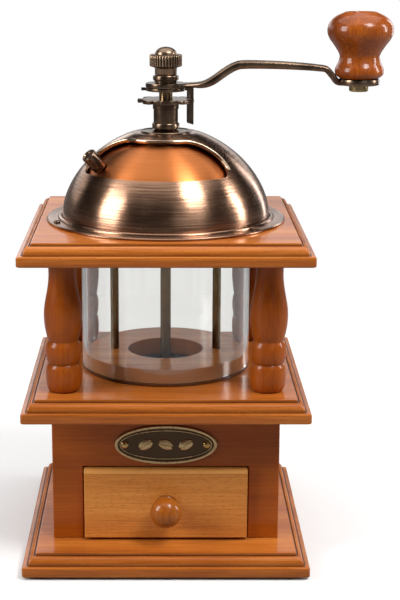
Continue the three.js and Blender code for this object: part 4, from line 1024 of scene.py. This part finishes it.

# %% [markdown]
# ## Crank, ring and cap nut
# The crank is forged: a flat hub, a rounded arm that bows up and comes down again, and a flat
# eye for the handle. Its arm is a grid rolled round a line of stations, each with its own width
# and height. The cap nut is rolled the same way, because its head is ribbed. Its grooves are
# darkened by painted shade and its ribs rubbed bright, so its colour follows the distance from the middle.

# %% Rolled pieces


def rolled(name, loops):
    """A grid rolled into a skin through closed loops of points in mm, closed at both ends."""
    columns, rows = len(loops[0]) + 1, len(loops)
    cells = {"x_subdivisions": columns - 1, "y_subdivisions": rows - 1}
    piece = fresh(bpy.ops.mesh.primitive_grid_add, name, **cells)
    for j, loop in enumerate(loops):
        for i in range(columns):
            piece.data.vertices[j * columns + i].co = Vector(loop[i % len(loop)]) * MM
    bpy.ops.object.mode_set(mode="EDIT")
    bpy.ops.mesh.select_all(action="SELECT")
    bpy.ops.mesh.remove_doubles(threshold=1e-6)
    bpy.ops.mesh.fill_holes(sides=0)
    close_up()
    return piece


def between(stations, t):
    """Smooth values at t from 0 to 1 along rows of numbers (a cubic through the rows)."""
    spot = t * (len(stations) - 1)
    k = min(int(spot), len(stations) - 2)
    u = spot - k
    rows = [stations[min(max(k + d, 0), len(stations) - 1)] for d in (-1, 0, 1, 2)]
    return [
        0.5 * (2 * b + (c - a) * u + (2 * a - 5 * b + 4 * c - d) * u * u + (3 * b - a - 3 * c + d) * u**3)
        for a, b, c, d in zip(*rows)
    ]


# %% Crank arm
REACH = 102
crank_low = stop_high + 0.3
hub_middle, hub_top = crank_low + 1.2, crank_low + 2.4
eye_low, eye_high = hub_middle, hub_middle + 3.4
ARM_RISE, ARM_WIDTH, ARM_HEIGHT = 10.7, 8.4, 4.6
ARM_STATIONS = [  # (share of the reach, share of the rise, shares of the width and the height)
    (0.05, 0, 1.75, 0.52), (0.13, 0, 1.3, 0.56), (0.19, 0.02, 1, 0.8), (0.24, 0.2, 0.92, 0.98),
    (0.31, 0.66, 0.9, 1), (0.36, 0.92, 0.88, 1), (0.41, 1, 0.86, 1), (0.56, 0.98, 0.8, 0.94),
    (0.7, 0.91, 0.76, 0.86), (0.785, 0.84, 0.76, 0.8), (0.83, 0.76, 0.78, 0.76),
    (0.862, 0.44, 0.84, 0.74), (0.89, 0.15, 0.98, 0.74), (0.94, 0.15, 1.1, 0.72),
]
ARM_STEPS, NUDGE = 72, 0.004
arm_loops = []
for i in range(ARM_STEPS + 1):
    t = i / ARM_STEPS
    share, rise, wide, tall = between(ARM_STATIONS, t)
    ahead = between(ARM_STATIONS, min(t + NUDGE, 1))
    behind = between(ARM_STATIONS, max(t - NUDGE, 0))
    along = Vector(((ahead[0] - behind[0]) * REACH, 0, (ahead[1] - behind[1]) * ARM_RISE)).normalized()
    loop = []
    for c, s in arc(0, 0, 1, 1, 0, 345, 23):
        across = abs(c) ** 0.7 * (1 if c > 0 else -1) * ARM_WIDTH * wide / 2
        up = abs(s) ** 0.7 * (1 if s > 0 else -1) * ARM_HEIGHT * tall / 2
        loop.append((share * REACH - up * along.z, across, hub_middle + rise * ARM_RISE + up * along.x))
    arm_loops.append(loop)
crank = rolled("crank_arm_forged", arm_loops)
hub_outline = [(0, crank_low), (10.7, crank_low), (10.7, hub_top), (0, hub_top)]
eye_outline = [(0, eye_low), (10.8, eye_low), (10.8, eye_high), (0, eye_high)]
hub = turned("hub", soften(hub_outline, 0.5), 64)
eye = turned("eye", soften(eye_outline, 0.9), 64, (REACH, 0))
combine("UNION", crank, hub, eye)
drill(crank, SPINDLE_BORE, crank_low - 1, hub_top + 4)
drill(crank, 3.3, eye_low - 1, eye_high + 1, (REACH, 0))
dress(crank, 40, polished_bronze, "crank_arm", "crank_set")
print("crank:", len(crank.data.polygons), "faces")

# %% Ring and cap nut
ring_low, ring_high = heights("cap_washer")
ring_outline = [
    (3.9, ring_low), (6.0, ring_low), (6.0, ring_low + 1), (6.5, ring_low + 1.05),
    (6.8, ring_low + 1.4), (6.8, ring_high - 0.5), (6.45, ring_high), (3.9, ring_high), (3.9, ring_low),
]
cap_ring = turned("cap_ring_turned", ring_outline, 64)
dress(cap_ring, 40, polished_bronze, "cap_washer", "cap_ring")

cap_low, cap_high = heights("cap_nut")
RIBS, RIB_DEPTH, RIB_STEPS = 34, 0.7, 8
head_low = ring_high + 4.4
head_high = head_low + 6.6
tip = arc(0, head_high + 0.1, 5.8, cap_high - head_high - 0.1, 0, 84, 9)
cap_rows = [  # (height, radius, how deep the ribs are)
    (cap_low, 5.6, 0), (cap_low + 0.2, 5.8, 0), (head_low - 1.2, 5.8, 0), (head_low - 0.4, 6.1, 0),
    (head_low, 6.9, 0), (head_low + 0.05, 7.3, 0.5), (head_low + 0.3, 8.2, 0.9), (head_low + 0.6, 8.6, 1),
    (head_low + 2.2, 8.6, 1), (head_low + 4.4, 8.6, 1), (head_high - 0.7, 8.6, 1),
    (head_high - 0.3, 8.35, 0.9), (head_high - 0.05, 7.8, 0.5), (head_high, 7.2, 0), (head_high, 6.2, 0),
    (head_high, 5.95, 0), *[(z, r, 0) for r, z in tip],
]
cap_loops = []
for height, radius, ribbed in cap_rows:
    loop = []
    for i in range(RIBS * RIB_STEPS):
        a = 2 * pi * i / (RIBS * RIB_STEPS)
        dent = RIB_DEPTH * ribbed * (1 - abs(sin(a * RIBS / 2)) ** 0.6)
        loop.append(((radius - dent) * cos(a), (radius - dent) * sin(a), height))
    cap_loops.append(loop)
cap_nut = rolled("cap_nut_ribbed", cap_loops)
drill(cap_nut, SPINDLE_BORE, cap_low - 1, head_low + 3.6)
# Painted shade darkens the grooves and the ribs are rubbed bright, so they can be counted from afar
ribbed_bronze = metal("ribbed_antique_bronze", "#58473a", "#8a735f", 0.3)
rib_tree = ribbed_bronze.node_tree
RIB_SHADE_AND_WEAR_TONES = ((0.3, "#86705d"), (0.4, "#2b2018"), (0.6, "#4a3828"), (0.78, "#a1866f"))
rib_limits = {"Value": axis_distance(rib_tree), "From Min": 7 * MM, "From Max": 9 * MM}
rib_share = add_node(rib_tree, "MapRange", rib_limits)
rib_shade_and_wear = add_node(rib_tree, "ValToRGB", {"Fac": rib_share}, RIB_SHADE_AND_WEAR_TONES)
fill(rib_tree.nodes["Principled BSDF"], {"Base Color": rib_shade_and_wear})
dress(cap_nut, 45, ribbed_bronze, "cap_nut", "cap_head")
print("cap nut:", len(cap_nut.data.polygons), "faces")

# %% [markdown]
# ## Handle
# The grip is turned wood with a counterbore in its top, where the head of its pin sits. It spins
# on the pin, which passes the crank's eye and ends in a round nut.

# %% Grip, pin and nut
grip_low, grip_high = heights("handle_grip")
GRIP_HEIGHT, GRIP_RADIUS = 34.4, 17.3
GRIP_SHARES = [  # (share of the height, share of the radius)
    (0, 0.6), (0.05, 0.72), (0.108, 0.745), (0.17, 0.715), (0.242, 0.645), (0.32, 0.607),
    (0.376, 0.636), (0.44, 0.71), (0.51, 0.805), (0.58, 0.91), (0.66, 0.985), (0.733, 1),
    (0.81, 0.965), (0.88, 0.87), (0.94, 0.72), (0.985, 0.52),
]
grip_line = [between(GRIP_SHARES, i / 60) for i in range(61)]
grip_outline = [
    (3.3, grip_low), *[(r * GRIP_RADIUS, grip_low + share * GRIP_HEIGHT) for share, r in grip_line],
    (8.2, grip_high - 0.1), (7.5, grip_high - 0.1), (7.0, grip_high - 0.6), (6.9, grip_high - 1.4),
    (6.9, grip_high - 7), (3.3, grip_high - 7), (3.3, grip_low),
]
grip = turned("turned_grip", grip_outline, 96, (REACH, 0))
dress(grip, 45, turned_beech, "handle_grip", "grip")
pin_low, pin_high = heights("handle_pin")
pin_seat = pin_high - 2.6
pin_outline = [
    (0, pin_low), (2.7, pin_low), (3.0, pin_low + 0.3), (3.0, pin_seat), (5.0, pin_seat),
    (5.2, pin_seat + 0.2), *arc(0, pin_seat + 0.3, 5.2, 2.3, 10, 86, 10), (0, pin_high),
]
pin = turned("grip_pin", pin_outline, 48, (REACH, 0))
slot = block("slot", (REACH - 6, -0.6, pin_high - 1.3), (REACH + 6, 0.6, pin_high + 1))
combine("DIFFERENCE", pin, slot)
dress(pin, 40, polished_bronze, "handle_pin", "crank_set")
nut_low, nut_high = heights("handle_pin_nut")
nut_outline = [
    (3.3, nut_low), (4.3, nut_low), (4.9, nut_low + 0.3), (5.1, nut_low + 0.8), (5.1, nut_high - 0.2),
    (4.9, nut_high), (3.3, nut_high), (3.3, nut_low),
]
pin_nut = turned("grip_nut", nut_outline, 48, (REACH, 0))
dress(pin_nut, 40, dull_brass, "handle_pin_nut", "crank_set")
print("handle: grip, pin, nut")

# %% [markdown]
# ## Spindle and small fittings
# The spindle passes from the cap nut through the glass to the burrs. Nuts and screws are small,
# so each kind is modelled once, with its slot or its chamfer, and copied to its places.

# %% Spindle and collar
spindle_low, spindle_high = heights("spindle")
collar_low, collar_high = heights("spring_collar")
spindle_outline = [
    (0, spindle_low), (2.5, spindle_low), (2.85, spindle_low + 0.4), (2.85, collar_low), (3.6, collar_low),
    (3.6, spindle_high - 0.4), (3.2, spindle_high), (0, spindle_high),
]
spindle = turned("spindle_turned", spindle_outline, 40)
dress(spindle, 40, turned_brass, "spindle", "crank_set")
collar_high -= 0.4  # room for the spindle to rise half a millimetre under the spring, which stays
collar_start = (3.9, (collar_low + collar_high) / 2)
collar_outline = [
    collar_start, (3.9, collar_low), (6.2, collar_low), (6.2, collar_high), (3.9, collar_high), collar_start,
]
collar = turned("spring_collar_turned", soften(collar_outline, 0.3), 48)
dress(collar, 40, dull_brass, "spring_collar", "crank_set")

print("spindle and collar")

# %% Screws


def screw_master(name, head_radius, head_height, shank_radius, length):
    """A slotted screw that stands on its head's seat at the origin."""
    eased = head_height * 0.5
    outline = [
        (0, -length), (shank_radius * 0.4, -length), (shank_radius, -length + 1.5), (shank_radius, 0),
        (head_radius - 0.15, 0), (head_radius, 0.15), (head_radius, eased),
        *arc(0, eased, head_radius, head_height - eased, 12, 84, 6), (0, head_height),
    ]
    wide, reach = head_radius * 0.16, head_radius + 1
    slot = block("slot", (-reach, -wide, eased), (reach, wide, head_height + 1))
    return combine("DIFFERENCE", turned(name, outline, 28), slot)


def set_out(master, name, spot, turn, material, body="housing"):
    """Copies a screw to a place in mm, turned by Euler angles in degrees."""
    piece = copy_of(master, name.replace("_screw", "_fixing").replace("drawer_", ""))
    piece.rotation_euler = [radians(a) for a in turn]
    piece.location = Vector(spot) * MM
    dress(piece, 40, material, name, body)


small_screw = screw_master("flange_screw_master", 1.8, 1.2, 1.1, 8)
for i, degrees in enumerate(SCREW_DEGREES):
    spot = about(SCREW_CIRCLE, degrees, top_high + 1.4)
    turn, name = (0, 0, 35 + 60 * i), f"flange_screw_{i + 1}"
    set_out(small_screw, name, spot, turn, polished_bronze)
for i, degrees in enumerate((45, 225)):
    spot = about(23.15, degrees, mid_high - 2.2)
    turn, name = (0, 0, 20 + 50 * i), f"burr_screw_{i + 1}"
    set_out(small_screw, name, spot, turn, cast_steel)
bracket_screw = screw_master("bracket_screw_master", 3.1, 1.7, 1.5, 9)
for name in ("bracket_screw_front", "bracket_screw_rear"):
    low, high = corners(name)
    spot = (*((low + high) / 2).xy, mid_low - 2)
    set_out(bracket_screw, name, spot, (180, 0, 30), cast_steel)
knob_screw = screw_master("knob_screw_master", 3.1, 1.7, 1.5, 13.9)
spot = (0, drawer_high.y, drawer_middle)
set_out(knob_screw, "drawer_knob_screw", spot, (-90, 0, 0), dull_brass, "drawer")
for master in (small_screw, bracket_screw, knob_screw):
    bpy.data.objects.remove(master)

print("eight slotted screws")

# %% Nuts and the bridge strap


def hex_nut(name, node_name, radius, bore_radius, body="housing"):
    """A brass nut in the place of a CAD node, with chamfered corners."""
    low, high = corners(node_name)
    nut = stamped(name, arc(0, 0, radius, radius, 0, 300, 5), low.z, high.z)
    cone_outline = [
        (0, low.z), (radius - 0.4, low.z), (radius + 0.3, low.z + 0.7), (radius + 0.3, high.z - 0.7),
        (radius - 0.4, high.z), (0, high.z),
    ]
    combine("INTERSECT", nut, turned("cone", cone_outline, 48))
    drill(nut, bore_radius, low.z - 1, high.z + 1, sides=40)
    nut.location = (*((low + high) / 2 * MM).xy, 0)
    dress(nut, 30, dull_brass, node_name, body)


for side in ("left", "right"):
    hex_nut("upper_rod_nut_" + side, "rod_top_nut_" + side, 4.2, ROD_BORE)
    hex_nut("lower_rod_nut_" + side, "rod_bottom_nut_" + side, 4.2, ROD_BORE)
hex_nut("burr_lock_nut", "burr_nut", 5.2, 3.15, "crank_set")

strap_low, strap_high = corners("rod_bridge")
strap = block("bridge_strap", strap_low, strap_high)
for x, radius in ((0, 3.15), (RODS[0], ROD_BORE), (RODS[1], ROD_BORE)):
    drill(strap, radius, strap_low.z - 1, strap_high.z + 1, (x, 0))
ease(strap, 0.25, over=60)
dress(strap, 35, shade_dark_metal, "rod_bridge")
print("five nuts and the bridge strap")

# %% [markdown]
# ## The oval plate
# A small cast plate is pinned to the case above the drawer. Its field is dark, and its rims and
# the coffee beans on it are rubbed bright, as on any raised relief that is handled.

# %% Oval plate
OVAL_POINTS = 96


def ellipse(inset):
    """Points of the plate's ellipse, moved inwards, in mm."""
    last = 360 - 360 / OVAL_POINTS
    return arc(0, 0, 27 - inset, 10.75 - inset, 0, last, OVAL_POINTS - 1)


def oval_ring(name, inset, width, height):
    """A raised rim with eased edges, standing on the field."""
    rim = stamped(name, ellipse(inset), 0.4, height)
    combine("DIFFERENCE", rim, stamped("inside", ellipse(inset + width), 0, height + 1))
    return ease(rim, 0.3 * width, 3, 50)


oval = stamped("oval_plate_cast", ellipse(0.1), 0, 0.8)
combine("UNION", oval, oval_ring("rim", 0, 1.7, 1.6), oval_ring("fine_rim", 2.6, 0.6, 1.2))
BEAN_LENGTH = 4.2  # half of it, mm
for i, tilt in enumerate((28, -24, 28)):
    bean = turned("bean", [(0, -0.6), *arc(0, 0, 1, 1, -37, 84, 10), (0, 1)], 32)
    bean.scale = (BEAN_LENGTH, 2.8, 0.95)
    settle(bean, 60)
    crease = []
    for j in range(17):
        x = -4.6 + 9.2 * j / 16
        arch = 0.98 * max(1 - (x / BEAN_LENGTH) ** 2, 0) ** 0.5
        crease.append((x, 0.55 * sin(pi * x / BEAN_LENGTH), arch))
    combine("DIFFERENCE", bean, swept_bar("crease", crease, 0.32, 3))
    bean.rotation_euler.z = radians(tilt)
    bean.location = ((i - 1) * 10.6 * MM, 0, 0.8 * MM)
    combine("UNION", oval, settle(bean, 60))
for side in (-1, 1):
    drill(oval, 1.4, -1, 3, (side * PIN_PLACE, 0))
oval.rotation_euler.x = pi / 2
oval.location = (0, plate_high.y * MM, plate_middle * MM)

print("plate:", len(oval.data.polygons), "faces")

# %% Its bronze, and the pins
# Dark where it is deep, rubbed to a pale gold where it is raised, and gritty from the cast; the
# grit is drawn 1.2 mm wide, coarser than it is, so that it shows
relief_bronze, relief_tree, relief_shader = surface("rubbed_cast_bronze")
place = own_place(relief_tree)
depth = add_node(relief_tree, "SeparateXYZ", {0: place}).outputs[1]
field_y, rubbed_y = ((plate_high.y - out) * MM for out in (0.88, 1.3))
limits = {"Value": depth, "From Min": field_y, "From Max": rubbed_y}
raised = add_node(relief_tree, "MapRange", limits)
grit = add_node(relief_tree, "TexNoise", {"Vector": place, "Scale": 1 / (1.2 * MM), "Detail": 3})
mixed = add_node(relief_tree, "Math", {0: raised, 1: grit}, operation="MULTIPLY")
PATINA = ((0.0, "#503f30"), (0.2, "#7a6448"), (0.45, "#c8ab7e"))
patina = add_node(relief_tree, "ValToRGB", {"Fac": mixed}, PATINA)
pits = add_node(relief_tree, "Bump", {"Height": grit, "Strength": 0.25, "Distance": 0.0001})
fill(relief_shader, {"Metallic": 1.0, "Roughness": 0.36, "Base Color": patina, "Normal": pits})
dress(oval, 40, relief_bronze, "oval_plate")

pin_outline = [
    (0, -7), (0.6, -7), (1.1, -6), (1.1, 0), (2.1, 0), *arc(0, 0.1, 2.1, 1.2, 5, 85, 8), (0, 1.3),
]
for side, x in (("left", -PIN_PLACE), ("right", PIN_PLACE)):
    plate_pin = turned("plate_pin_domed_" + side, pin_outline, 36)
    plate_pin.rotation_euler.x = pi / 2
    plate_pin.location = (x * MM, (plate_high.y - 0.85) * MM, plate_middle * MM)
    dress(plate_pin, 50, bright_brass, "plate_pin_" + side)
print("plate: bronze and two brass pins")

# %% [markdown]
# ## Pieces that stay as they are
# The burrs, the bracket, the spring and the felt pad are plain or sharp edged on the real
# object too, so the CAD pieces stay. They only get a finish.

# %% Felt, and finishes for the CAD pieces
# Dark and dull, with a short nap, which is drawn 0.6 mm wide so that it shows
felt, felt_tree, felt_shader = surface("pressed_felt")
felt_grain = {"Vector": own_place(felt_tree), "Scale": 1 / (0.6 * MM), "Detail": 4}
fuzz = add_node(felt_tree, "TexNoise", felt_grain)
dye = add_node(felt_tree, "ValToRGB", {"Fac": fuzz}, ((0.3, "#241f1b"), (0.7, "#3b342d")))
nap = add_node(felt_tree, "Bump", {"Height": fuzz, "Strength": 0.4, "Distance": 0.0003})
fill(felt_shader, {"Base Color": dye, "Normal": nap, "Roughness": 0.95, "Sheen Weight": 0.3})
kept = {
    "felt_base_pad": felt, "outer_burr": cast_steel, "inner_burr": cast_steel,
    "lower_bracket": cast_steel, "spindle_spring": spring_steel,
}
for node_name, material in kept.items():
    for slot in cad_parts[node_name].material_slots:
        slot.material = material
print("kept:", ", ".join(kept))
